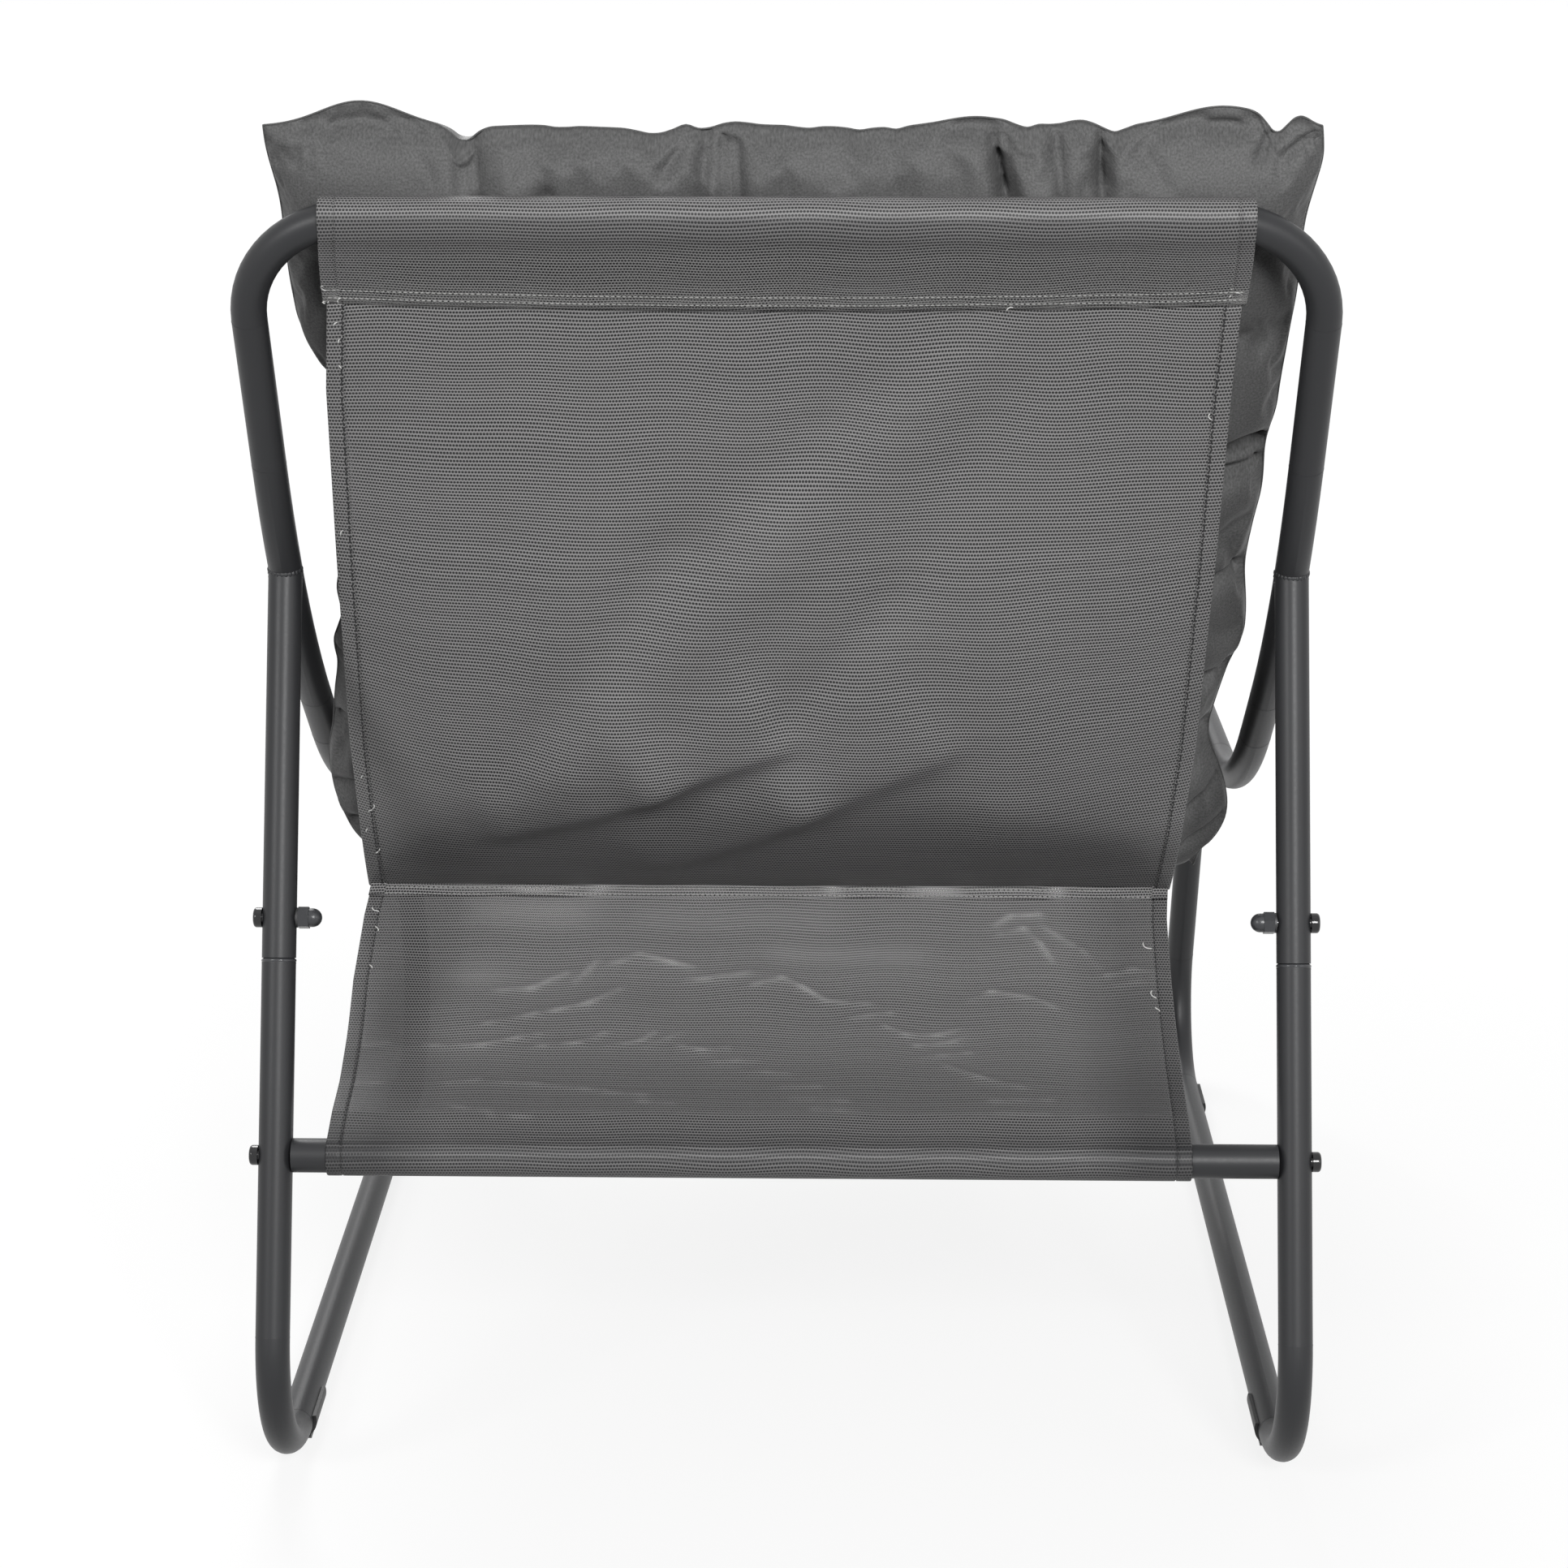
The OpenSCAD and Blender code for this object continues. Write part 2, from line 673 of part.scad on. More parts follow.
// Seat section, from the fold forward over the front bar.
module cushion_seat() {
    ahead = [-cos(seat_tilt), sin(seat_tilt)];
    out = [sin(seat_tilt), cos(seat_tilt)];
    color(cloth_grey) pad(
        seat_pad_len, 0, function(s) 0,
        function(p)
            let (q = crease + p[1] * ahead + (p[2] + rise) * out)
            [-p[0], q.x, q.y]
    );
}

back_frame();
rear_socket(1);  // rear_socket_left
rear_socket(-1);  // rear_socket_right
front_socket(1);  // front_socket_left
front_socket(-1);  // front_socket_right
base_side(1);  // base_side_left
base_side(-1);  // base_side_right
bar_tube(rear_bar);  // rear_bar_tube
bar_tube(front_bar);  // front_bar_tube
bar_plugs(rear_bar);  // rear_bar_plugs
bar_plugs(front_bar);  // front_bar_plugs
side_bolts(rear_bar, bar_shank);  // rear_bar_bolts
side_bolts(front_bar, bar_shank);  // front_bar_bolts
side_bolts(rear_bolt, leg_shank);  // rear_leg_bolts
side_bolts(front_bolt, leg_shank);  // front_leg_bolts
side_washers(rear_bolt);  // rear_leg_washers
side_washers(front_bolt);  // front_leg_washers
side_nuts(rear_bolt);  // rear_dome_nuts
side_nuts(front_bolt);  // front_dome_nuts
rail_cap(1);  // rail_cap_left
rail_cap(-1);  // rail_cap_right
glide(1, rear_glide_y);  // rear_glide_left
glide(-1, rear_glide_y);  // rear_glide_right
glide(1, front_glide_y);  // front_glide_left
glide(-1, front_glide_y);  // front_glide_right
sling_back();
sling_seat();
sling_tail();
cushion_back();
cushion_seat();
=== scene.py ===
"""Looks of the outdoor lounge chair: mesh sling, loose tufted cushion, welds, stitching, finishes, light and camera."""
import json
import math

import bpy
import numpy as np
from mathutils import Matrix, Vector


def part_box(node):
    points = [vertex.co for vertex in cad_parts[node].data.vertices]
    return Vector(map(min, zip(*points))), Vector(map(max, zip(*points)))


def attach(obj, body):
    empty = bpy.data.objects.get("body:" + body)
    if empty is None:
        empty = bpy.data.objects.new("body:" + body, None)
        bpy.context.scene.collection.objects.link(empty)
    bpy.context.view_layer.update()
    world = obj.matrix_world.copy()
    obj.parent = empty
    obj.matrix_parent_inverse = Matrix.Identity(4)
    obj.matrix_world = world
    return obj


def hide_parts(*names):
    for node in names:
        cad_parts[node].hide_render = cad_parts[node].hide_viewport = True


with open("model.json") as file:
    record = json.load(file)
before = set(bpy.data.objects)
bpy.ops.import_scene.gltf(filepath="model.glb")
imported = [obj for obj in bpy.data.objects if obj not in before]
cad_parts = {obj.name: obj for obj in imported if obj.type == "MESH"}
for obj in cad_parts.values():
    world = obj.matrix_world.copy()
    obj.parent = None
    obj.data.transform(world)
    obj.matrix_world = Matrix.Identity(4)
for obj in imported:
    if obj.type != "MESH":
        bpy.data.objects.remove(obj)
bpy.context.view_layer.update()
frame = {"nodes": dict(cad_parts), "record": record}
nodes = frame["nodes"]
MM = 0.001

# Sizes that the part's source sets, in millimetres. A point of the side view is [y, z].
TUBE_R = 11.0
CLOTH_T = 1.0
PLY_R = TUBE_R + 0.3 + 1.5 * CLOTH_T
SLING_W = 561.0
HEM_W = 11.0
FLAP_HEM = 13.0
CREASE = np.array([117.15, 326.0])
SIDE_X = 326.5


def middle(node):
    """Middle of a CAD node's box as [y, z], in millimetres."""
    low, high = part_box(node)
    return np.array([(low[1] + high[1]) / 2, (low[2] + high[2]) / 2]) / MM


def ramp(value, low, high):
    """Share of the way from low to high, held at 0 and 1 beyond them; high may be the lesser."""
    return np.clip((value - low) / (high - low), 0, 1)


def smooth(share):
    """Share from 0 to 1 eased at both ends, 3 q^2 - 2 q^3."""
    return share ** 2 * (3 - 2 * share)


REAR_BAR = middle("rear_bar_tube")
FRONT_BAR = middle("front_bar_tube")
TOP_BAR = np.array([323.15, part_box("back_frame")[1][2] / MM - TUBE_R])


# ---- Meshes from arrays ----

def grid_faces(rows, columns, around=False):
    """Quads of a grid of rows by columns points; around joins the last column to the first."""
    i, j = np.meshgrid(np.arange(rows - 1), np.arange(columns if around else columns - 1), indexing="ij")
    k = (j + 1) % columns
    return np.stack([i * columns + j, i * columns + k, (i + 1) * columns + k, (i + 1) * columns + j], -1).reshape(-1, 4)


def piece(name, points, faces, material, body, uv=None, values=None):
    """Object at the origin from points in millimetres and faces, with a UV map in metres and named point values."""
    mesh = bpy.data.meshes.new(name)
    mesh.from_pydata((np.asarray(points).reshape(-1, 3) * MM).tolist(), [],
                     faces.tolist() if isinstance(faces, np.ndarray) else faces)
    if uv is not None:
        corner = np.empty(len(mesh.loops), dtype=np.int32)
        mesh.loops.foreach_get("vertex_index", corner)
        layer = mesh.uv_layers.new(name="flat")
        layer.data.foreach_set("uv", (np.asarray(uv).reshape(-1, 2)[corner] * MM).astype(np.float32).ravel())
    for key, array in (values or {}).items():
        mesh.attributes.new(key, "FLOAT", "POINT").data.foreach_set("value", np.asarray(array, np.float32).ravel())
    mesh.polygons.foreach_set("use_smooth", np.full(len(mesh.polygons), True))
    mesh.materials.append(material)
    mesh.update()
    obj = bpy.data.objects.new(name, mesh)
    bpy.context.scene.collection.objects.link(obj)
    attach(obj, body)
    return obj


def unit(v):
    """Vectors brought to length 1."""
    return v / np.linalg.norm(v, axis=-1, keepdims=True)


def distances(path):
    """Distance along a path to each of its points."""
    return np.concatenate([[0], np.cumsum(np.linalg.norm(np.diff(path, axis=0), axis=1))])


def rings(sides, one, other):
    """Round of directions at each point of a path: cos a * one + sin a * other, for as many angles as sides."""
    a = np.linspace(0, 2 * math.pi, sides, endpoint=False)
    return np.cos(a)[:, None] * one[:, None] + np.sin(a)[:, None] * other[:, None]


def tube_points(path, radius, sides, up):
    """Rings carried along a path, square to it, each with its own radius."""
    along = unit(np.gradient(path, axis=0))
    n = unit(np.cross(up, along))
    return path[:, None] + np.asarray(radius).reshape(-1, 1, 1) * rings(sides, n, np.cross(along, n))


def stitch_points(centres, along, normal, length, radius, sides=6):
    """Thread stitches: each is an ellipse of revolution about along, half sunk, x = L t, r = R sqrt(1 - t^2)."""
    t = np.array([-0.5, -0.36, 0.0, 0.36, 0.5])
    r = radius * np.sqrt(np.clip(1 - (1.9 * t) ** 2, 0.02, 1))
    ring = rings(sides, normal, np.cross(along, normal))
    points = (centres[:, None, None] + length * t[None, :, None, None] * along[:, None, None]
              + r[None, :, None, None] * ring[:, None])
    faces = grid_faces(len(t), sides, True)
    ends = np.array([np.arange(sides)[::-1], (len(t) - 1) * sides + np.arange(sides)])
    count = len(t) * sides
    shift = (np.arange(len(centres)) * count)[:, None, None]
    return points, (faces[None] + shift).reshape(-1, 4).tolist() + (ends[None] + shift).reshape(-1, sides).tolist()


def fold_field(x, s, lines, power=2.0):
    """Sum of ridges: each line (x0, s0, x1, s1, height, width) gives height * exp(-(d / width)^power), fading at its
    ends. A power of 2 is a soft ridge, and near 1 a sharp crease. A seventh number is the width on the right-hand side
    of the line."""
    total = np.zeros(np.broadcast(x, s).shape)
    for x0, s0, x1, s1, height, width, *right in lines:
        dx, ds = x1 - x0, s1 - s0
        size = math.hypot(dx, ds)
        along = ((x - x0) * dx + (s - s0) * ds) / size
        across = ((x - x0) * ds - (s - s0) * dx) / size
        past = np.maximum(-along, 0) + np.maximum(along - size, 0)
        wide = np.where(across > 0, right[0], width) if right else width
        total += height * np.exp(-np.abs(across / wide) ** power - (past / (1.6 * width)) ** 2)
    return total


def ripple(x, s, seed, wave):
    """Smooth seeded unevenness about -1 to 1: a mean of six plane waves near one wavelength."""
    rng = np.random.default_rng(seed)
    total = 0
    for angle, stretch, phase in rng.uniform([0, 0.7, 0], [math.pi, 1.6, 2 * math.pi], (6, 3)):
        k = 2 * math.pi / (wave * stretch)
        total = total + np.sin(k * (x * math.cos(angle) + s * math.sin(angle)) + phase)
    return total / 3


# ---- Materials ----

def linear(code):
    """sRGB hex to linear RGBA."""
    c = np.array([int(code[i:i + 2], 16) / 255 for i in (1, 3, 5)])
    return (*np.where(c <= 0.04045, c / 12.92, ((c + 0.055) / 1.055) ** 2.4), 1.0)


def add(tree, kind, inputs=None, **settings):
    """Adds a shader node with its settings; an input is a value, another node or one of its output sockets."""
    node = tree.nodes.new("ShaderNode" + kind)
    for key, value in settings.items():
        setattr(node, key, value)
    for key, value in (inputs or {}).items():
        if isinstance(value, bpy.types.Node):
            value = value.outputs[0]
        if isinstance(value, bpy.types.NodeSocket):
            tree.links.new(value, node.inputs[key])
        else:
            node.inputs[key].default_value = value
    return node


def material(name):
    """Empty node material; gives the material, its tree and its output node."""
    made = bpy.data.materials.new(name)
    made.use_nodes = True
    made.node_tree.nodes.clear()
    return made, made.node_tree, made.node_tree.nodes.new("ShaderNodeOutputMaterial")


def mixed(tree, share, one, other, **settings):
    """Colour between two, as a socket; a colour is a hex code or a node's socket."""
    one, other = (linear(colour) if isinstance(colour, str) else colour for colour in (one, other))
    return add(tree, "Mix", {"Factor": share, 6: one, 7: other}, data_type="RGBA", **settings).outputs[2]


def ranged(tree, value, low, high):
    """A value of 0 to 1 brought to low to high."""
    return add(tree, "MapRange", {"Value": value, "To Min": low, "To Max": high})


def seen_or_mirrored(tree):
    """1 for rays from the camera, off gloss or through glass, and 0 for those that light the chair."""
    path = add(tree, "LightPath")
    seen = add(tree, "Math", {0: path.outputs["Is Camera Ray"], 1: path.outputs["Is Glossy Ray"]}, operation="MAXIMUM")
    return add(tree, "Math", {0: seen, 1: path.outputs["Is Transmission Ray"]}, operation="MAXIMUM")


def powder_coat():
    """Polyester powder coat on steel: satin charcoal, a fine orange peel about 1.5 mm across, and faint uneven
    build-up."""
    made, t, out = material("satin powder-coated steel")
    place = add(t, "TexCoord").outputs["Object"]
    peel = add(t, "TexNoise", {"Vector": place, "Scale": 1 / 0.0015, "Detail": 2.0})
    build = add(t, "TexNoise", {"Vector": place, "Scale": 1 / 0.07, "Detail": 3.0})
    tint = mixed(t, build, "#2a2a2c", "#333436")
    rough = ranged(t, peel, 0.36, 0.48)
    bump = add(t, "Bump", {"Height": peel, "Strength": 0.12, "Distance": 0.0002})
    shader = add(t, "BsdfPrincipled", {"Base Color": tint, "Roughness": rough, "Normal": bump, "IOR": 1.5,
                                       "Specular IOR Level": 0.36})
    t.links.new(shader.outputs[0], out.inputs[0])
    return made


def yarn_mesh():
    """Woven PVC-coated polyester yarn: light yarn with short dark gaps in rows, set off by half from row to row, each
    with a tiny hole through it. The real rows are 2.05 mm and the gaps 1.5 mm apart; they are drawn at 2.4 mm and 2 mm,
    so that they show. The UV map is the flat cloth in metres. Where the open value is high the holes are wider and the
    yarn is drawn paler; below 0 the yarn is drawn darker, a painted shade."""
    gap_pitch, row_pitch = 0.002, 0.0024
    made, t, out = material("woven PVC-coated polyester mesh")
    flat = add(t, "UVMap", uv_map="flat")
    cells = add(t, "VectorMath", {0: flat, 1: (1 / gap_pitch, 1 / row_pitch, 0)}, operation="MULTIPLY")
    row = add(t, "Math", {0: add(t, "SeparateXYZ", {0: cells}).outputs["Y"]}, operation="FLOOR")
    half = add(t, "CombineXYZ", {0: add(t, "Math", {0: row, 1: 0.5}, operation="MULTIPLY")})
    moved = add(t, "VectorMath", {0: cells, 1: half}, operation="ADD")
    within = add(t, "VectorMath", {0: moved}, operation="FRACTION")
    centred = add(t, "VectorMath", {0: within, 1: (0.5, 0.5, 0)}, operation="SUBTRACT")
    oval = add(t, "VectorMath", {0: centred, 1: (1.95, 2.5, 0)}, operation="MULTIPLY")
    gap = add(t, "VectorMath", {0: oval}, operation="LENGTH").outputs["Value"]
    yarn = add(t, "MapRange", {"Value": gap, "From Min": 0.62, "From Max": 1.0}, interpolation_type="SMOOTHSTEP")
    batch = add(t, "TexWhiteNoise", {"W": row}, noise_dimensions="1D").outputs["Value"]
    tone = ranged(t, batch, 0.95, 1.05)
    open_and_painted_light = add(t, "Attribute", attribute_name="open").outputs["Fac"]
    # Above 0 the yarn is drawn paler, towards #bcbbba; along the tail's bright strokes and patches this is a painted
    # highlight.
    pale = mixed(t, open_and_painted_light, "#979696", "#bcbbba")
    # Below 0 the yarn is mixed towards #242426: painted shade over the bars, in the back's belly and on the tail; the
    # side hems get a slightly darker tone the same way.
    painted_shade = add(t, "Math", {0: open_and_painted_light, 1: -1.0}, operation="MULTIPLY")
    shade = mixed(t, yarn, "#161618", mixed(t, painted_shade, pale, "#242426"))
    colour = mixed(t, 1.0, shade, tone, blend_type="MULTIPLY")
    size = ranged(t, open_and_painted_light, 0.12, 0.9)
    solid = add(t, "Math", {0: gap, 1: size}, operation="GREATER_THAN")
    bump = add(t, "Bump", {"Height": yarn, "Strength": 0.35, "Distance": 0.0004})
    shader = add(t, "BsdfPrincipled", {"Base Color": colour, "Roughness": 0.48, "IOR": 1.45, "Normal": bump,
                                       "Alpha": solid})
    t.links.new(shader.outputs[0], out.inputs[0])
    return made


def cushion_cloth():
    """Plain woven solution-dyed polyester: grey with a soft satin sheen; threads 0.4 mm apart, drawn at 1 mm so that
    they show, with a grain of uneven yarn, drawn at 1.3 mm."""
    made, t, out = material("plain woven polyester cloth")
    flat = add(t, "UVMap", uv_map="flat")
    angle = add(t, "VectorMath", {0: flat, 1: (2 * math.pi / 0.001,) * 3}, operation="MULTIPLY")
    wave = add(t, "SeparateXYZ", {0: add(t, "VectorMath", {0: angle}, operation="SINE")})
    weave = add(t, "Math", {0: wave.outputs["X"], 1: wave.outputs["Y"]}, operation="MULTIPLY")
    grain = add(t, "TexNoise", {"Vector": flat, "Scale": 1 / 0.0013, "Detail": 2.0})
    uneven = add(t, "MapRange", {"Value": grain, "From Min": 0.3, "From Max": 0.7})
    tint = mixed(t, uneven, "#505050", "#6c6c6c")
    bump = add(t, "Bump", {"Height": weave, "Strength": 0.1, "Distance": 0.0003})
    shader = add(t, "BsdfPrincipled", {"Base Color": tint, "Roughness": 0.6, "IOR": 1.45, "Normal": bump,
                                       "Specular IOR Level": 0.35, "Sheen Weight": 0.12, "Sheen Roughness": 0.35})
    t.links.new(shader.outputs[0], out.inputs[0])
    return made


def speckled(name, dark, light, grain_mm, rough, metal=0.0):
    """Plain moulded, plated or twisted finish: two close tones over a fine grain that also lifts the surface."""
    made, t, out = material(name)
    place = add(t, "TexCoord").outputs["Object"]
    grain = add(t, "TexNoise", {"Vector": place, "Scale": 1000 / grain_mm, "Detail": 3.0})
    bump = add(t, "Bump", {"Height": grain, "Strength": 0.1, "Distance": 0.0002})
    shader = add(t, "BsdfPrincipled", {"Base Color": mixed(t, grain, dark, light), "Metallic": metal, "Normal": bump,
                                       "Roughness": ranged(t, grain, rough - 0.08, rough + 0.08)})
    t.links.new(shader.outputs[0], out.inputs[0])
    return made


coat = powder_coat()
mesh_cloth = yarn_mesh()
soft_cloth = cushion_cloth()
plastic = speckled("moulded black polypropylene", "#161617", "#202021", 0.8, 0.5)
black_steel = speckled("blackened steel", "#141416", "#1e1e20", 0.6, 0.1)
smooth_coat = speckled("powder coat rubbed smooth", "#3c3d40", "#48494c", 0.8, 0.13)
cap_steel = speckled("charcoal-plated steel", "#343538", "#404144", 0.6, 0.3)
zinc = speckled("dulled zinc-plated steel", "#3a3a3b", "#4c4c4d", 0.7, 0.45, metal=0.6)
thread_pale = speckled("pale polyester thread", "#8e8e8c", "#b4b4b2", 0.3, 0.7)
thread_white = speckled("white thread ends", "#d2d2d0", "#eeeeec", 0.3, 0.7)
thread_dark = speckled("dark polyester thread", "#1a1a1b", "#2a2a2b", 0.3, 0.7)

finishes = {"powder_coated_steel": coat, "blackened_steel": black_steel, "zinc_steel": zinc, "black_plastic": plastic}
for part in frame["record"]["subparts"]:
    if part["material_slot"] in finishes:
        nodes[part["node"]].data.materials.clear()
        nodes[part["node"]].data.materials.append(finishes[part["material_slot"]])
for node in ("rear_dome_nuts", "front_dome_nuts"):
    nodes[node].data.materials[0] = cap_steel


# ---- Welds ----

def weld_bead(name, side, crossing, leg_up, tube_along):
    """Rippled bead where a leg socket's end meets the frame tube of the same radius. On the socket at angle f the end
    is at t = -(|cos f| - cos f cos b) r / sin b along it, with b the angle between the two tubes."""
    radius, ripple_pitch = 1.3, 2.6
    square = np.array([leg_up[1], -leg_up[0]])
    square = square if square @ tube_along > 0 else -square
    b = math.acos(leg_up @ tube_along)
    f = np.linspace(0, 2 * math.pi, 220, endpoint=False)
    t = -(np.abs(np.cos(f)) - np.cos(f) * math.cos(b)) * TUBE_R / math.sin(b)
    yz = crossing + t[:, None] * leg_up + TUBE_R * np.cos(f)[:, None] * square
    path = np.concatenate([(side * SIDE_X + TUBE_R * np.sin(f))[:, None], yz], 1)
    far = distances(path)
    size = radius * (1 + 0.14 * np.sin(2 * math.pi * far / ripple_pitch) + 0.12 * ripple(far, 0 * far, 61, 18.0))
    along = unit(np.roll(path, -1, 0) - np.roll(path, 1, 0))
    out = unit(np.concatenate([np.sin(f)[:, None], np.cos(f)[:, None] * square], 1))
    ring = rings(10, out, 1.5 * np.cross(along, out))
    points = path[:, None] - 0.5 * radius * out[:, None] + size[:, None, None] * ring
    points = np.concatenate([points, points[:1]])
    return piece(name, points, grid_faces(*points.shape[:2], True), coat, "chair")


def lean(angle):
    """Direction in [y, z] at an angle in degrees from upright, + to the rear."""
    return np.array([math.sin(math.radians(angle)), math.cos(math.radians(angle))])


# The rear sockets meet the long sweep of the back tube, and the front ones the seat rails.
RECLINE, SWEEP_R, SWEEP_TOP_Z = 24.0, 560.0, 651.9
REAR_LEAN, FRONT_LEAN = -21.2, 17.5
sweep_top = TOP_BAR - (TOP_BAR[1] - SWEEP_TOP_Z) / math.cos(math.radians(RECLINE)) * lean(RECLINE)
sweep_centre = sweep_top + SWEEP_R * np.array([-lean(RECLINE)[1], lean(RECLINE)[0]])
to_leg = REAR_BAR - sweep_centre
half_b = to_leg @ lean(REAR_LEAN)
rear_crossing = REAR_BAR + (-half_b - math.sqrt(half_b ** 2 - to_leg @ to_leg + SWEEP_R ** 2)) * lean(REAR_LEAN)
from_centre = unit(rear_crossing - sweep_centre)
tube_there = np.array([-from_centre[1], from_centre[0]])
tube_there = tube_there if tube_there[1] > 0 else -tube_there
front_low, rear_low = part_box("front_socket_left")[0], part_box("rear_socket_left")[0]
front_foot = np.array([front_low[1], front_low[2]]) / MM + TUBE_R * lean(FRONT_LEAN)[::-1]
rear_foot = np.array([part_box("rear_socket_left")[1][1], rear_low[2]]) / MM - TUBE_R * lean(REAR_LEAN)[::-1]
front_crossing = front_foot + (FRONT_BAR[1] - front_foot[1]) / lean(FRONT_LEAN)[1] * lean(FRONT_LEAN)
for side, word in ((1, "left"), (-1, "right")):
    weld_bead("rear_weld_" + word, side, rear_crossing, lean(REAR_LEAN), tube_there)
    weld_bead("front_weld_" + word, side, front_crossing, lean(FRONT_LEAN), np.array([1.0, 0.0]))


def leg_lips(spots):
    """Rounded shoulder at the top of each lower leg: a thin ring round the leg, 0.35 mm proud of it."""
    radius, below = 1.4, 1.7
    around, section = np.linspace(0, 2 * math.pi, 49), np.linspace(0, 2 * math.pi, 12, endpoint=False)
    f, a = np.meshgrid(around, section, indexing="ij")
    out, up = TUBE_R - 1.05 + radius * np.cos(a), radius * np.sin(a)
    points, faces = [], []
    for side, foot, leg_up in spots:
        yz = foot + (up - below)[..., None] * leg_up + (out * np.cos(f))[..., None] * np.array([leg_up[1], -leg_up[0]])
        points.append(np.concatenate([(side * SIDE_X + out * np.sin(f))[..., None], yz], -1).reshape(-1, 3))
        faces.append(grid_faces(*f.shape, True) + f.size * len(faces))
    return piece("leg_lips", np.concatenate(points), np.concatenate(faces), smooth_coat, "chair")


leg_tops = ((rear_foot, lean(REAR_LEAN)), (front_foot, lean(FRONT_LEAN)))
leg_lips([(side, foot, up) for side in (1, -1) for foot, up in leg_tops])


# ---- Sling ----

def panel_path(deep, length, slack, ply_step, turn_back):
    """Cloth path in [a, b] from the folded end of the pocket's flap, round the bar at PLY_R, and along b = -PLY_R to
    the crease, where it may turn back over its outer face. Also gives the flap's share (1 at its end, 0 at the bar), 1
    on the ply, and the number of points in the fold."""
    end = np.array([deep, 2.6 - PLY_R])
    far = end - [slack, 0]
    start = math.atan2(far[1], far[0]) + math.acos(PLY_R / np.linalg.norm(far))
    touch = np.array([slack, 0]) + PLY_R * np.array([math.cos(start), math.sin(start)])
    up = unit(touch - end)
    under = np.array([up[1], -up[0]])
    under = under if under[1] < 0 else -under
    inner = np.linspace(FLAP_HEM, 0.6, 4)[:, None]
    folded = end + inner * up + 1.2 * under
    bend = np.array([[-0.35, 1.05], [-0.6, 0.6], [-0.35, 0.15]])
    folded = np.concatenate([folded, end + bend[:, :1] * up + bend[:, 1:] * under])
    q = np.linspace(0, 1, 14)[:, None]
    flap = end + (touch - end) * q
    turn = np.linspace(start, math.pi / 2, 4)[1:]
    shoulder = np.stack([slack + PLY_R * np.cos(turn), PLY_R * np.sin(turn)], 1)
    wrap = np.linspace(math.pi / 2, 1.5 * math.pi, 24)[(0 if slack > 0.01 else 1):]
    round_bar = np.stack([PLY_R * np.cos(wrap), PLY_R * np.sin(wrap)], 1)
    a = np.linspace(0, length, int(length / ply_step))[1:]
    ply = np.stack([a, np.full_like(a, -PLY_R)], 1)
    back = np.zeros((0, 2))
    if turn_back:
        back = [length, -PLY_R] + np.array([[0.5, -0.25], [0.7, -0.7], [0.5, -1.15], [-1, -1.3], [-turn_back / 2, -1.3],
                                            [-turn_back, -1.0]])
    path = np.concatenate([folded, flap, shoulder, round_bar, ply, back])
    is_flap = np.zeros(len(path))
    is_flap[:len(folded)] = 1
    is_flap[len(folded):len(folded) + len(flap)] = 1 - q[:, 0] ** 2
    is_ply = np.zeros(len(path))
    is_ply[-len(ply) - len(back):] = 1
    return path, is_flap, is_ply, len(folded)


def hem_profile(columns):
    """Section of a panel across its width as offsets from its middle: x, the lift outwards, and the flat width so far.
    A hem is folded to the inner face along each edge, with a shallow groove where it is sewn."""
    half = SLING_W / 2
    edge = np.array([[HEM_W, -1.15], [8, -1.2], [4, -1.2], [1, -1.15], [0.25, -0.95], [0, -0.55], [0.25, -0.15],
                     [1, 0], [4, 0], [7.5, 0], [9.3, -0.05], [9.9, -0.9], [10.5, -0.05], [12, 0], [15, 0]])
    inner = np.linspace(20, SLING_W - 20, columns)
    x = np.concatenate([edge[:, 0] - half, inner - half, half - edge[::-1, 0]])
    lift = np.concatenate([edge[:, 1], 0 * inner, edge[::-1, 1]])
    flat = np.concatenate([[0], np.cumsum(np.hypot(np.diff(x), np.diff(lift)))])
    return x, lift, flat


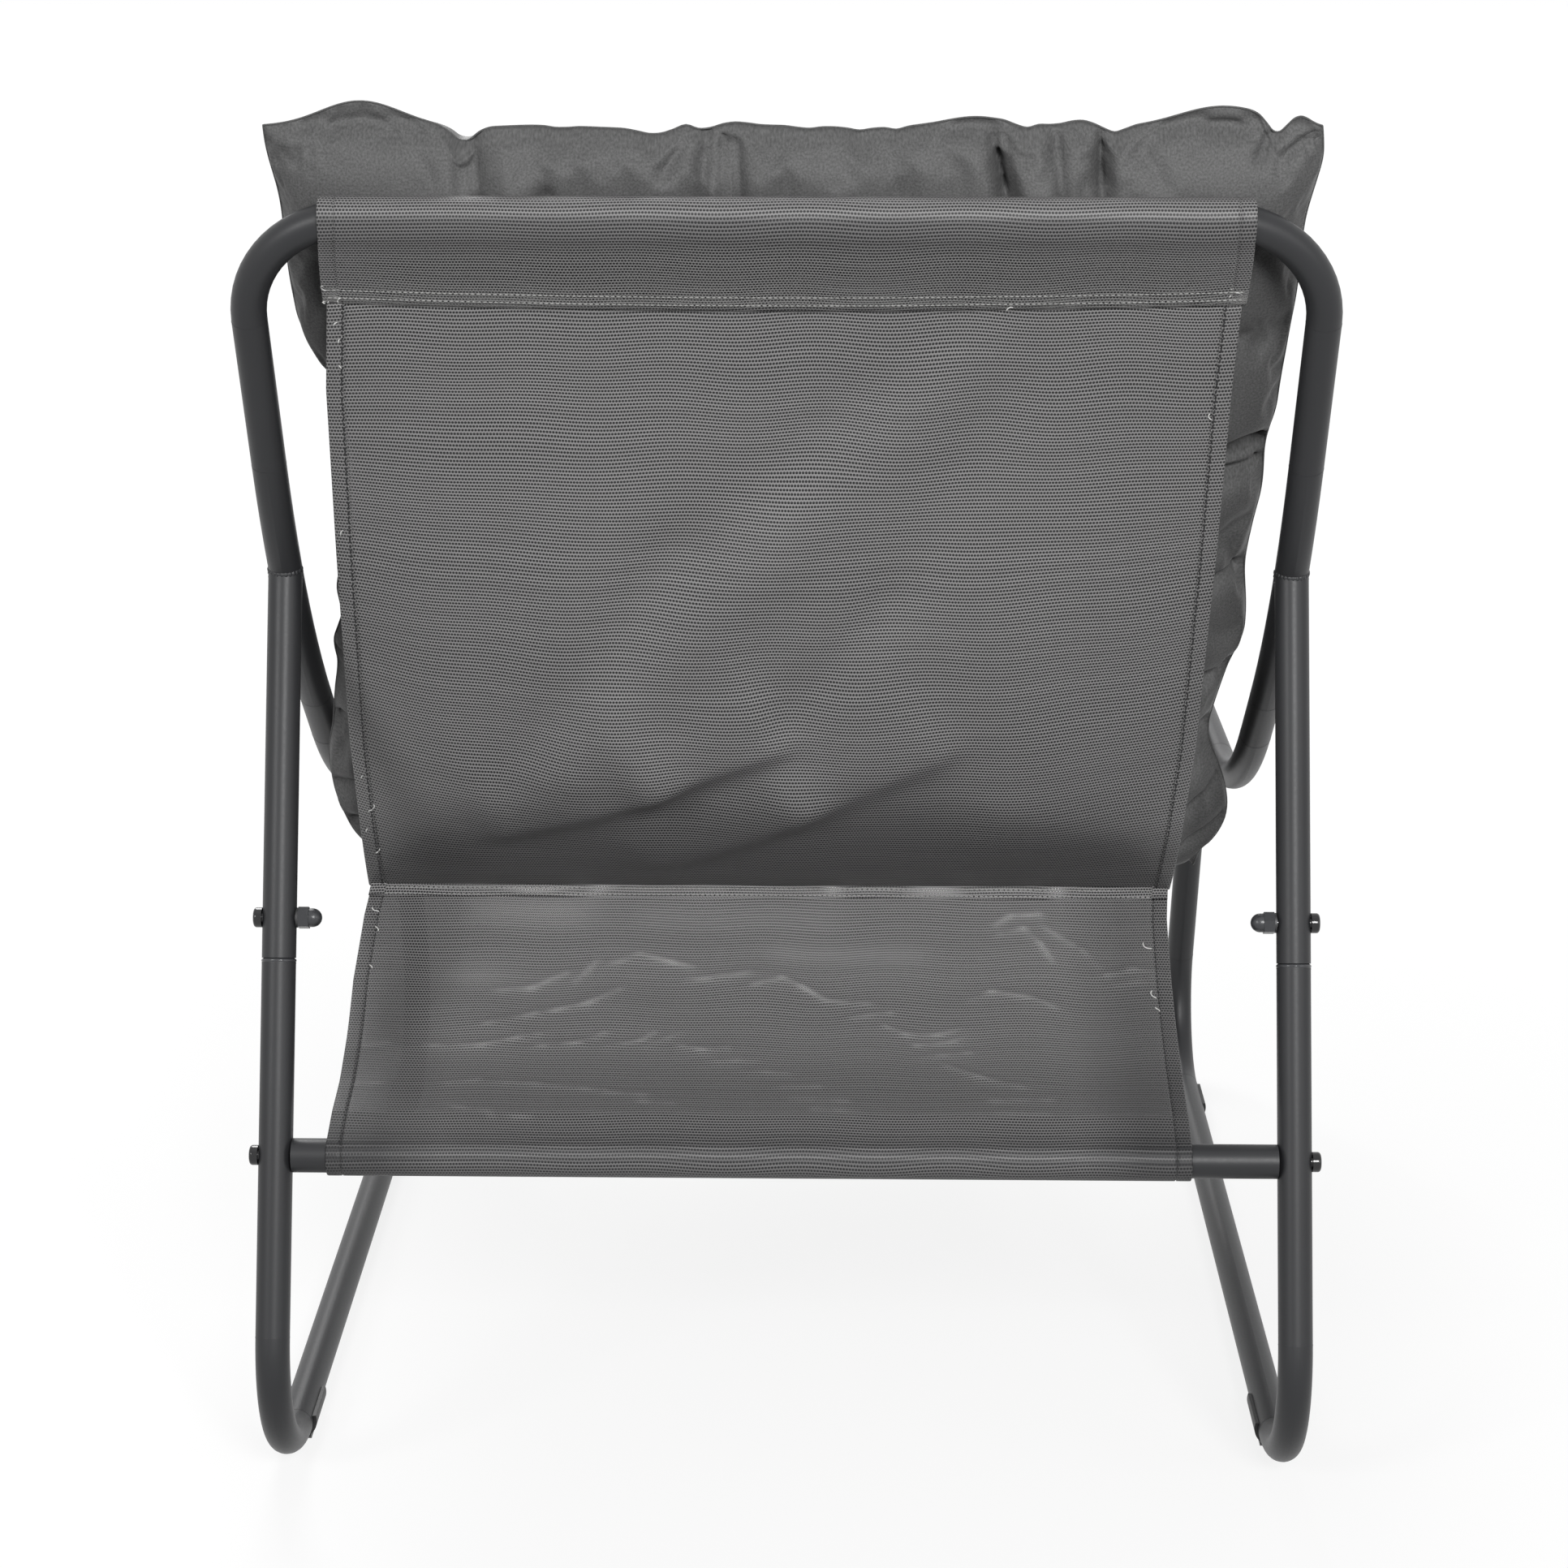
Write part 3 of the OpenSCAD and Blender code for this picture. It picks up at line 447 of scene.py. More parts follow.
class Panel:
    """One mesh panel of the sling: the hem section carried along panel_path and moved off its plane by bulge(x, a)."""

    def __init__(self, name, node, bar, tilt, kind, deep, length, slack, lie_x, bulge, hole, bow=0.0, columns=90,
                 ply_step=4.0, turn_back=0.0):
        along, side = panel_frame(tilt, kind)
        path, is_flap, is_ply, self.flap_from = panel_path(deep, length, slack, ply_step, turn_back)
        x, lift, flat_x = hem_profile(columns)
        direction = unit(np.gradient(path, axis=0))
        out = np.stack([direction[:, 1], -direction[:, 0]], 1)
        self.flat_s = np.concatenate([[0], np.cumsum(np.hypot(*np.diff(path, axis=0).T))])
        a = path[:, 0][None] + bow * (0.35 - (2 * x / SLING_W) ** 2)[:, None] * is_flap[None]
        down, mid, width = np.array(lie_x, float).T
        past_bar = np.maximum(a, 0)
        mid, width = np.interp(past_bar, down, mid), np.interp(past_bar, down, width)
        shown_x = mid + x[:, None] * (width / SLING_W) * (1 + 0.0016 * bow * is_flap[None])
        b = path[:, 1][None] + bulge(shown_x, past_bar) * np.maximum(is_ply, is_flap)[None]
        a_out, b_out = a + lift[:, None] * out[:, 0], b + lift[:, None] * out[:, 1]
        yz = bar + a_out[..., None] * along + b_out[..., None] * side
        self.points = np.concatenate([shown_x[..., None], yz], -1)
        self.flat_x = flat_x
        self.flat = (flat_x[-1], np.linalg.norm(np.diff(self.points, axis=1), axis=-1).sum(1).mean())
        s = self.flat_s[None]
        uv = np.stack(np.broadcast_arrays(flat_x[:, None] + 0.9 * ripple(shown_x, s, 4, 100.0),
                                          s + 1.6 * ripple(shown_x, s, 3, 95.0)), -1)
        # The side hems are drawn slightly darker through the open value, which also paints the yarn: paler above 0,
        # painted shade below 0.
        hems = -0.05 * (np.abs(x) > SLING_W / 2 - HEM_W)[:, None]
        self.cloth = piece(name, self.points, grid_faces(len(x), len(path)), mesh_cloth, "chair", uv,
                           values={"open": np.clip(hole(shown_x, a) + hems, -1, 1)})
        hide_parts(node)

    def spots(self, w, s):
        """Points of the cloth at flat widths w and flat distances s, between the four grid points round each."""
        w, s = np.broadcast_arrays(np.asarray(w, float), s)
        i, j = (np.interp(v, scale, np.arange(len(scale))) for v, scale in ((w, self.flat_x), (s, self.flat_s)))
        i0, j0 = np.minimum(i.astype(int), len(self.flat_x) - 2), np.minimum(j.astype(int), len(self.flat_s) - 2)
        f, g, p = (i - i0)[:, None], (j - j0)[:, None], self.points
        near = (1 - g) * p[i0, j0] + g * p[i0, j0 + 1]
        return (1 - f) * near + f * ((1 - g) * p[i0 + 1, j0] + g * p[i0 + 1, j0 + 1])

    def across(self, s):
        """Line across the cloth at flat distance s along its path, without its folded-under hems."""
        return self.spots(self.flat_x[7:-7], s)

    def lengthways(self, w, first, last):
        """Line along the cloth at flat width w, between two flat distances."""
        return self.spots(w, self.flat_s[(self.flat_s >= first) & (self.flat_s <= last)])


def panel_frame(tilt, kind):
    """Directions of a panel in [y, z]: along it from its bar, and the way the bar lies from the main ply."""
    c, s = math.cos(tilt), math.sin(tilt)
    return {"back": (np.array([-s, -c]), np.array([c, -s])), "seat": (np.array([c, -s]), np.array([-s, -c])),
            "tail": (np.array([-c, s]), np.array([-s, -c]))}[kind]


def lie(bar, kind):
    """Tilt and clear length of a panel from its bar's tangent to the crease."""
    d = bar - CREASE
    span = np.linalg.norm(d)
    lean = math.asin(PLY_R / span)
    tilt = {"back": math.atan2(d[0], d[1]) - lean, "seat": math.atan2(d[1], -d[0]) + lean,
            "tail": math.atan2(-d[1], d[0]) - lean}[kind]
    return tilt, math.sqrt(span ** 2 - PLY_R ** 2)


back_tilt, back_len = lie(TOP_BAR, "back")
seat_tilt, seat_len = lie(FRONT_BAR, "seat")
tail_tilt, tail_len = lie(REAR_BAR, "tail")

# Soft diagonal folds of the back panel: ends (x, a from the top bar), height towards the rear and width.
BACK_FOLDS = [
    (-100, 117, 9, 237, 2.6, 30), (9, 237, 146, 389, 3.2, 26), (-149, 103, -64, 269, -2.2, 24),
    (-64, 269, 10, 364, -2.6, 18), (-111, 75, 74, 238, -2, 22), (74, 238, 182, 400, -2.6, 20),
    (14, 374, 87, 408, 8.5, 11, 55), (87, 408, 187, 450, 8.5, 13, 60), (-92, 384, -11, 428, 6, 13, 46),
    (-11, 428, 82, 490, 7, 12, 36), (-150, 440, -230, 470, 3, 20, 40)]


def belly_of(x, a):
    """Depth of the back's belly at x, the share of its rise at a, and the share of its turn under to the crease."""
    across = np.clip(1 - (np.abs(x - 10) / 285) ** 4, 0, 1)
    deep = 5 + 39 * across + 2.5 * ripple(x, 0 * a, 12, 130.0)
    reach = 72 + 76 * across + 6 * ripple(x, 0 * a, 13, 110.0)
    rise = np.clip(a / (back_len - reach), 0, 1)
    return deep, rise, np.clip((a - back_len + reach) / reach, 0, 1)


def back_bulge(x, a):
    """Rearward push of the cushion: rises smoothly down the panel to its deepest line, then turns under to the crease
    as D (1 - t^2.4), with t from 0 to 1 over the reach of the belly."""
    deep, rise, under = belly_of(x, a)
    rise = np.clip((rise - 0.15) / 0.85, 0, 1)
    belly = deep * (smooth(rise) - under ** 2.4)
    fade = ramp(a, 0, 130) * np.sqrt(np.clip((back_len - a) / 60, 0, 1))
    return belly + fold_field(x, a, BACK_FOLDS) * fade + 0.5 * rise * ripple(x, a, 11, 160.0)


# Bright wandering strokes of the slack tail, where its ripples pull the mesh open and the yarn is painted paler as a
# painted highlight: the points (x, a from the rear bar) of each, and pale patches, also painted highlights, as lines
# with their openness and width.
TAIL_STROKES = [
    [(197, 153), (173, 156), (152, 169)], [(143, 162), (131, 180)], [(122, 178), (101, 188), (80, 181), (65, 177)],
    [(66, 164), (45, 167), (27, 171)], [(22, 160), (3, 166), (-11, 157), (-26, 145), (-55, 142)],
    [(-45, 128), (-69, 133)], [(-67, 119), (-79, 112), (-100, 111), (-120, 118)],
    [(-87, 101), (-111, 104), (-120, 110)], [(-93, 89), (-120, 93)], [(-106, 79), (-126, 68), (-155, 58)],
    [(-135, 43), (-172, 44)], [(-137, 30), (-168, 29)], [(278, 97), (265, 100)], [(239, 98), (203, 98), (166, 110)],
    [(164, 98), (137, 101), (122, 111)], [(117, 99), (96, 104), (89, 111)], [(93, 97), (71, 111)],
    [(69, 98), (56, 94), (40, 97)], [(45, 83), (21, 84)], [(25, 73), (1, 71)], [(1, 56), (-21, 57)],
    [(-7, 44), (-39, 42)], [(-20, 33), (-46, 31)], [(279, 56), (265, 58)], [(221, 58), (201, 62)],
    [(192, 59), (164, 59)], [(161, 56), (120, 52)], [(116, 49), (91, 47)], [(93, 40), (73, 38)],
    [(218, 34), (192, 29)], [(189, 24), (165, 23)], [(-144, 218), (-155, 226), (-174, 226), (-177, 214), (-194, 200)],
    [(-147, 209), (-162, 213), (-172, 200), (-180, 185)], [(-203, 193), (-211, 180)],
    [(-217, 171), (-234, 176), (-247, 175)], [(-223, 161), (-246, 167)],
    [(-125, 146), (-138, 154), (-164, 149), (-180, 140)], [(201, 120), (168, 131), (133, 141), (114, 154)]]
TAIL_LINES = [(*one, *two) for stroke in TAIL_STROKES for one, two in zip(stroke, stroke[1:])]
TAIL_HIGHLIGHT_PATCHES = [(200, 227, 155, 227, 0.15, 15), (235, 170, 212, 168, 0.12, 13), (0, 190, -80, 188, 0.1, 10),
    (90, 222, -20, 222, 0.08, 12)]


def tail_bulge(x, a):
    """Sag of the slack tail, 4 h q (1 - q), with low ripples along its bright strokes."""
    q = ramp(a, 28, tail_len)
    slack = 4 * q * (1 - q)
    lines = [(*line, 0.6, 4) for line in TAIL_LINES]
    return slack * (10 + 0.5 * ripple(x, a, 21, 70.0)) - fold_field(x, a, lines) * np.clip(2 * slack, 0, 1)


def tail_open(x, a):
    """Openness of the tail: its bright strokes and the pale patches, where the holes widen and the yarn is painted
    paler as a painted highlight, and the sewn end; below 0 it is painted shade, darker towards the bar, at both sides,
    and in rows round the bar."""
    lines = [(*line, 0.27, 2.3) for line in TAIL_LINES]
    strokes = np.clip(fold_field(x, a, lines) * (0.8 + 0.5 * ripple(x, a, 31, 22.0)), 0, 0.36)
    # The negative terms are painted shade: darker towards the bar, a little darker from 175 to 135 mm, and at both
    # sides.
    tail_open_and_shade = 0.03 * ramp(a, 50, 170) - 0.2 * ramp(a, 110, 50) + 0.42 * (a > tail_len - 10)
    tail_open_and_shade = tail_open_and_shade - 0.08 * ramp(a, 175, 135) - 0.32 * ramp(np.abs(x - 15.5), 205, 245)
    # Painted shade in rows round the rear bar.
    pocket = (0.32 - 0.24 * (np.sin(a * 2 * math.pi / 4.4) > 0.1)) * ramp(a, 18, 6)
    return tail_open_and_shade - pocket + strokes + fold_field(x, a, TAIL_HIGHLIGHT_PATCHES)


def stretched_round(x, a):
    """Openness of a panel that only opens in rows where it is stretched round its bar, and in its flap's hem."""
    rows = [(-11, -6), (-3, 4), (46.5, 53), (56, 70)]
    return 0.2 * sum(ramp(a + 0 * x, low, low + 2) * ramp(a, high, high - 2) for low, high in rows)


def back_open(x, a):
    """Openness of the back: its rows round the top bar and in the flap, which is paler towards its end; below 0 it is
    painted shade, darker over the bar and in the belly as it turns under to the crease."""
    # Painted shade in the belly's turn under to the crease, and over the top bar.
    under = np.clip(1.7 * belly_of(x, np.maximum(a, 0))[2], 0, 1)
    bar_painted_shade = 0.5 * ramp(a, 15, 1) * np.maximum(ramp(a, -16, -4), 0.3)
    flap = (0.3 * ramp(a, 14, 24) + 0.2 * ramp(a, 50, 56)) * ramp(a, 69, 67)
    return stretched_round(x, a) + flap - bar_painted_shade - 0.42 * smooth(under)


# How each panel lies across the chair: distance from its bar, middle and width there.
BACK_LIE = [(0, -1, 555), (62, 1, 557), (127, 5, 562), (250, 7.5, 566), (400, 11, 568), (533, 14.5, 559)]
SEAT_LIE = [(0, 0, 561), (480, 14.5, 559)]
TAIL_LIE = [(0, 16.3, 553), (60, 16, 552.4), (107, 16.5, 553.4), (164, 17.6, 556.2), (224, 16.6, 556.2),
            (250, 14.3, 556)]
back_cloth = Panel("sling_back_mesh", "sling_back", TOP_BAR, back_tilt, "back", 67.0, back_len - 0.4, 4.9, BACK_LIE,
                   back_bulge, back_open, bow=5.0)
seat_cloth = Panel("sling_seat_mesh", "sling_seat", FRONT_BAR, seat_tilt, "seat", 28.0, seat_len + 0.3, 0.0, SEAT_LIE,
                   lambda x, a: 2.0 * np.sin(math.pi * np.clip(a / seat_len, 0, 1)), stretched_round, columns=60,
                   ply_step=8.0)
tail_cloth = Panel("sling_tail_mesh", "sling_tail", REAR_BAR, tail_tilt, "tail", 28.0, tail_len - 0.5, 0.0, TAIL_LIE,
                   tail_bulge, tail_open, columns=170, ply_step=1.5, turn_back=11.0)


def sewn(lines, outwards, pitch, length, radius, name, thread, wander=0.0, body="chair"):
    """Rows of thread along lines on the cloth: stitches of one length at one pitch; wander slants every other one."""
    parts, faces, count = [], [], 0
    for line in lines:
        far = distances(line)
        at = np.arange(pitch, far[-1] - pitch / 2, pitch)
        centres = np.stack([np.interp(at, far, line[:, k]) for k in range(3)], 1)
        along = unit(np.gradient(centres, axis=0))
        normal = np.broadcast_to(np.asarray(outwards, float), centres.shape)
        normal = unit(normal - (normal * along).sum(1, keepdims=True) * along)
        slant = wander * np.where(np.arange(len(at)) % 2, 1, -1)[:, None] * np.cross(along, normal)
        points, quads = stitch_points(centres + normal * 0.25 * radius, unit(along + slant), normal, length, radius)
        parts.append(points.reshape(-1, 3))
        faces += [[k + count for k in face] for face in quads]
        count += len(parts[-1])
    return piece(name, np.concatenate(parts), faces, thread, body)


def outward(tilt, kind, flip=1):
    """Outward normal of a panel's shown face, as [x, y, z]."""
    return np.array([0, *(flip * panel_frame(tilt, kind)[1])])


# The grooves of both side hems are the 12th columns from the edges. The fold of the flap is as long on each panel.
flap_at = back_cloth.flat_s[back_cloth.flap_from]
back_end, tail_end = back_cloth.flat_s[-1], tail_cloth.flat_s[-1]
grooves = back_cloth.flat_x[11], back_cloth.flat_x[-12]
tail_grooves = tail_cloth.flat_x[11], tail_cloth.flat_x[-12]
back_out, tail_out = outward(back_tilt, "back"), outward(tail_tilt, "tail", -1)
sewn([back_cloth.across(flap_at + d) for d in (4.5, 12.0)], back_out, 3.4, 2.5, 0.55, "flap_stitching", thread_pale)
sewn([back_cloth.lengthways(w, flap_at + 140, back_end) for w in grooves], back_out, 3.6, 3.0, 0.75,
     "back_hem_stitching", thread_dark, 0.25)
sewn([tail_cloth.lengthways(w, flap_at + 55, tail_end - 12) for w in tail_grooves], tail_out, 3.6, 3.0, 0.65,
     "tail_hem_stitching", thread_dark, 0.25)
sewn([tail_cloth.across(tail_end - d) for d in (2.0, 7.5)], tail_out, 3.4, 2.4, 0.5, "crease_stitching", thread_pale)

# Loose thread ends: flat width and distance on the cloth, direction there in degrees, and length.
BACK_ENDS = [
    (153, 15.5, 0, 6), (2, 31.5, 200, 6), (10, 16, 170, 12), (4, 24, 250, 5), (570, 26, 90, 8), (566, 18, 200, 10),
    (571, 17, 300, 8), (563, 205, 60, 7), (563, 214, 100, 6), (564, 232, 95, 6), (563, 352, 90, 10), (24, 268, 90, 5),
    (563, 551, 80, 7), (562, 575, 100, 10), (563, 597, 85, 9), (562, 617, 95, 6)]
TAIL_ENDS = [(563, 318, 70, 7), (562, 300, 100, 5), (562, 265, 100, 4), (23, 288, 70, 9), (23, 240, 100, 8),
             (22, 228, 80, 4)]


def loose_ends(panel, ends, away, name):
    """Bits of thread left on the cloth: each follows it from its place, curls and lifts by up to 1.9 mm."""
    t = np.linspace(0, 1, 9)
    points, faces, sides = [], [], 6
    for w, s, direction, length in ends:
        turn = np.radians(direction + 70 * np.sin(2.6 * t + w))
        step = length / (len(t) - 1)
        path = panel.spots(w + np.cumsum(np.cos(turn)) * step, s + np.cumsum(np.sin(turn)) * step)
        path = path + (0.4 + 1.5 * t ** 2)[:, None] * away
        shift = len(points) * len(t) * sides
        points.append(tube_points(path, np.where((t == 0) | (t == 1), 0.2, 0.42), sides, away).reshape(-1, 3))
        ends_of = [list(range(sides))[::-1], list(range((len(t) - 1) * sides, len(t) * sides))]
        faces += [[k + shift for k in face] for face in grid_faces(len(t), sides, True).tolist() + ends_of]
    return piece(name, np.concatenate(points), faces, thread_white, "chair")


loose_ends(back_cloth, BACK_ENDS, back_out, "back_loose_threads")
loose_ends(tail_cloth, TAIL_ENDS, tail_out, "tail_loose_threads")


# ---- Cushion ----

# Cushion coordinates: x across, s from the crease up the back (+) or out along the seat (-), h off the sling.
TOP_S = 566.0
FRONT_S = -524.0
TUFT_PITCH = 126.0
SEAM_H = 36.0
CROWN = 84.0
FOLD_REACH = 30.0
REST_H = 2.0
MOST_PLUMPING = 0.024

# Edge of the cushion: bumps of its top seam (x, rise, width), and its side seams (s, x), alike along the seat.
TOP_EDGE = [
    (255, 15, 34), (193, -10, 9), (135, -1.5, 8), (78, -4, 12), (59, 1.5, 6), (49, -3, 5), (29, 2, 10),
    (-12, -1.5, 7), (-45, -2, 8), (-66, -2, 6), (-113, 7, 26), (-142, -3, 5), (-176, 3, 10), (-197, -4, 8),
    (-262, 12, 42), (-293, -10, 8), (-306, 5, 9)]
SEAT_EDGE = [(-126, 304), (-190, 310), (-252, 304), (-315, 310), (-378, 304), (-450, 311), (-524, 314)]
RIGHT_EDGE = [
    (566, -319), (553, -323), (530, -320), (500, -315), (448, -315), (396, -310), (366, -310), (347, -305),
    (310, -306), (253, -299), (213, -304), (190, -304), (173, -296), (132, -288), (111, -285), (80, -298), (64, -302),
    (52, -304), (38, -299), (19, -287), (0, -280), (-30, -289), (-60, -299)] + [(s, -x) for s, x in SEAT_EDGE]
LEFT_EDGE = [
    (566, 313), (548, 313), (515, 308), (464, 308), (429, 305), (398, 291), (370, 282), (330, 280), (270, 284),
    (246, 295), (230, 301), (218, 299), (207, 296), (199, 300), (190, 308), (179, 305), (168, 304), (150, 308),
    (126, 311), (112, 313), (96, 318), (66, 316), (32, 303), (18, 291), (0, 281), (-30, 290), (-60, 300)] + SEAT_EDGE

# Pulled folds of the rear face near its edges: ends (x, s), depth into the filling and width.
REAR_FOLDS = [
    (-121, 576, -131, 535, 13, 3.5), (-128, 548, -142, 490, 17, 4.5), (-131, 566, -144, 500, 6, 2.5),
    (-187, 576, -190, 540, 11, 4), (-189, 552, -192, 490, 13, 5), (-162, 566, -166, 520, 8, 4),
    (-150, 560, -156, 525, -4, 8), (-155, 580, -160, 562, 6, 4), (-58, 572, -66, 535, 5, 7),
    (-36, 575, -50, 560, 4, 5), (46, 572, 52, 500, 11, 5), (37, 560, 38, 490, 10, 4), (29, 555, 26, 495, 12, 5),
    (60, 562, 70, 548, 6, 5), (90, 568, 120, 560, 3, 6), (186, 560, 182, 490, 10, 7), (168, 560, 160, 495, -5, 9),
    (143, 530, 140, 490, 8, 5), (205, 566, 240, 562, 6, 5), (-228, 590, -215, 560, 4, 6),
    (-293, 572, -284, 556, 10, 4), (-316, 564, -302, 556, 8, 4), (-310, 574, -300, 568, 5, 4),
    (-326, 349, -235, 347, 26, 5.5), (-326, 334, -240, 335, 17, 5), (-326, 342, -250, 341, -5, 4),
    (-320, 300, -262, 280, 3, 8), (-318, 255, -255, 250, 12, 6), (-318, 176, -255, 166, 12, 6),
    (-305, 118, -255, 130, 14, 6), (-308, 94, -263, 52, 10, 6), (-312, 60, -260, 20, 8, 6),
    (-300, 114, -266, 90, 6, 6), (316, 398, 255, 384, 12, 6), (312, 250, 255, 250, 12, 6), (315, 182, 255, 175, 9, 6),
    (312, 128, 255, 126, 14, 6), (316, 70, 262, 92, 10, 6), (312, 40, 262, 64, 8, 5)]


def edge_at(edge, s):
    """Side seam's x along the cushion: the points of its table joined and softened over 18 mm."""
    at, x = np.array(edge[::-1], float).T
    return sum(np.interp(s + d, at, x) for d in (-9, -3, 3, 9)) / 4


def lay(x, s, h):
    """Chair position of cushion coordinates. Within FOLD_REACH of the crease the sling's two lines are joined by an arc
    that touches both."""
    up = np.array([math.sin(back_tilt), math.cos(back_tilt)])
    ahead = np.array([-math.cos(seat_tilt), math.sin(seat_tilt)])
    on_back = math.atan2(math.sin(back_tilt), -math.cos(back_tilt))
    on_seat = math.atan2(math.cos(seat_tilt), math.sin(seat_tilt))
    turn = on_back - on_seat
    radius = FOLD_REACH / math.tan(turn / 2)
    centre = CREASE + FOLD_REACH * up + radius * np.array([math.cos(on_back), math.sin(on_back)])
    facing = on_seat + turn * ramp(s, -FOLD_REACH, FOLD_REACH)
    normal = np.stack([np.cos(facing), np.sin(facing)], -1)
    at = centre - radius * normal
    at = at + np.maximum(s - FOLD_REACH, 0)[..., None] * up + np.maximum(-s - FOLD_REACH, 0)[..., None] * ahead
    yz = at + h[..., None] * normal
    return np.concatenate([np.broadcast_to(x, h.shape)[..., None], yz], -1)


def pulls(x, s):
    """Pull of the tuft columns and rows: 1 on a tuft line, 0 midway between two."""
    first = np.where(s > 0, TOP_S - TUFT_PITCH / 2, FRONT_S + TUFT_PITCH / 2)
    return (1 - np.cos(2 * math.pi * x / TUFT_PITCH)) / 2, (1 + np.cos(2 * math.pi * (s - first) / TUFT_PITCH)) / 2


def cushion_grid(across, lengthwise):
    """Front and rear faces of the cushion on one grid, as x, s, front h and rear h; they meet at the seam. In front
    h = seam + swell * (crown - seam - tufts), bounded by the fold; behind it follows the sling and rises to the
    seam."""
    u = np.sin(np.linspace(-1, 1, across) * 1.15) / math.sin(1.15)
    line = np.sin(np.linspace(1, -1, lengthwise) * 1.1) / math.sin(1.1)
    u, s = np.meshgrid(u, np.where(line > 0, line * TOP_S, -line * FRONT_S), indexing="ij")
    left, right = edge_at(LEFT_EDGE, s), edge_at(RIGHT_EDGE, s)
    x = right + (left - right) * (u + 1) / 2
    bumps = sum(rise * np.exp(-((x - at) / wide) ** 2) for at, rise, wide in TOP_EDGE)
    s = s + bumps * ramp(s, 380, TOP_S) ** 3
    s = s + 7 * pulls(x, s)[0] * ramp(s, -330, FRONT_S) ** 3
    v = np.where(s > 0, s / TOP_S, s / FRONT_S).clip(0, 1)
    column, row = pulls(x, s)
    seam = SEAM_H * (0.3 + 0.7 * ramp(np.abs(s), 0, 100)) + 2.5 * ripple(x, s, 41, 60.0)
    knife = 1 - 0.5 * ramp(x, 150, 210)
    swell = np.sqrt(np.clip(1 - np.abs(u) ** 4, 0, 1)) * np.clip(1 - v ** 9, 0, 1) ** np.where(s > 0, knife, 0.5)
    tuft = 26 * (column * row) ** 1.5 + 18 * (column * row) ** 7 + 3.5 * (column ** 3 + row ** 3)
    around = np.arctan2(np.sin(2 * math.pi * x / TUFT_PITCH), np.sin(2 * math.pi * s / TUFT_PITCH))
    pucker = 1.3 * np.cos(9 * around) * column * row + 1.2 * ripple(x, s, 42, 45.0)
    high = seam + swell * (CROWN - SEAM_H - tuft + pucker)
    roof = np.sqrt((1.36 * s) ** 2 + 9.0 ** 2) - 3.0
    high = -8 * np.log(np.exp(-high / 8) + np.exp(-roof / 8))
    flat = np.sqrt(np.clip(1 - np.abs(u) ** 9, 0, 1) * np.clip(1 - v ** 18, 0, 1))
    inside = ramp(np.abs(x - 8), 285, 265)
    belly = np.where(s > 0, back_bulge(x, np.maximum(back_len - s, 0)), 0) * inside
    low = REST_H + (seam - REST_H) * (1 - flat) - 0.85 * belly * flat
    high = np.maximum(high, low + 2.0)
    seam = np.minimum(seam, np.maximum(roof, 6.0))
    border = rim(u.shape)
    return x, s, np.where(border, seam, high), np.where(border, seam, low)


def plump(cover, held):
    """Cloth simulation of the filled cover: air pressure inside, no gravity, held where it is sewn or lies on the
    sling; no point moves over MOST_PLUMPING, in metres, and the result is written back to the mesh."""
    steps = 20
    scene = bpy.context.scene
    start = np.empty(len(cover.data.vertices) * 3, np.float32)
    cover.data.vertices.foreach_get("co", start)
    pins = cover.vertex_groups.new(name="sewn")
    for weight in np.unique(held):
        pins.add(np.flatnonzero(held == weight).tolist(), float(weight), "REPLACE")
    cloth = cover.modifiers.new("plump", "CLOTH")
    for key, value in (("vertex_group_mass", pins.name), ("pin_stiffness", 1.0), ("quality", 4), ("mass", 0.25),
                       ("tension_stiffness", 18), ("compression_stiffness", 18), ("shear_stiffness", 6),
                       ("bending_stiffness", 0.6), ("use_pressure", True), ("uniform_pressure_force", 4.0),
                       ("shrink_min", -0.02)):
        setattr(cloth.settings, key, value)
    cloth.settings.effector_weights.gravity = 0.0
    cloth.collision_settings.use_collision = False
    scene.frame_start, scene.frame_end = 1, steps
    cloth.point_cache.frame_start, cloth.point_cache.frame_end = 1, steps
    for step in range(1, steps + 1):
        scene.frame_set(step)
    seen = cover.evaluated_get(bpy.context.evaluated_depsgraph_get())
    moved = np.empty_like(start)
    seen.data.vertices.foreach_get("co", moved)
    cover.modifiers.remove(cloth)
    cover.vertex_groups.remove(pins)
    scene.frame_set(1)
    shift = (moved - start).reshape(-1, 3)
    far = np.linalg.norm(shift, axis=1, keepdims=True)
    shift *= np.minimum(1, MOST_PLUMPING / np.maximum(far, 1e-9))
    cover.data.vertices.foreach_set("co", (start.reshape(-1, 3) + shift).ravel())
    cover.data.update()


def finer(grid, times):
    """Cubic refinement of a grid of points: each cell is split, with a smooth curve through the given points."""
    for axis in (0, 1):
        grid = np.moveaxis(grid, axis, 0)
        last = len(grid) - 1
        t = np.linspace(0, last, last * times + 1)
        i = np.clip(t.astype(int), 0, last - 1)
        f = (t - i).reshape(-1, *[1] * (grid.ndim - 1))
        p0, p1, p2, p3 = grid[np.maximum(i - 1, 0)], grid[i], grid[i + 1], grid[np.minimum(i + 2, last)]
        grid = p1 + 0.5 * f * (p2 - p0 + f * (2 * p0 - 5 * p1 + 4 * p2 - p3 + f * (3 * (p1 - p2) + p3 - p0)))
        grid = np.moveaxis(grid, 0, axis)
    return grid


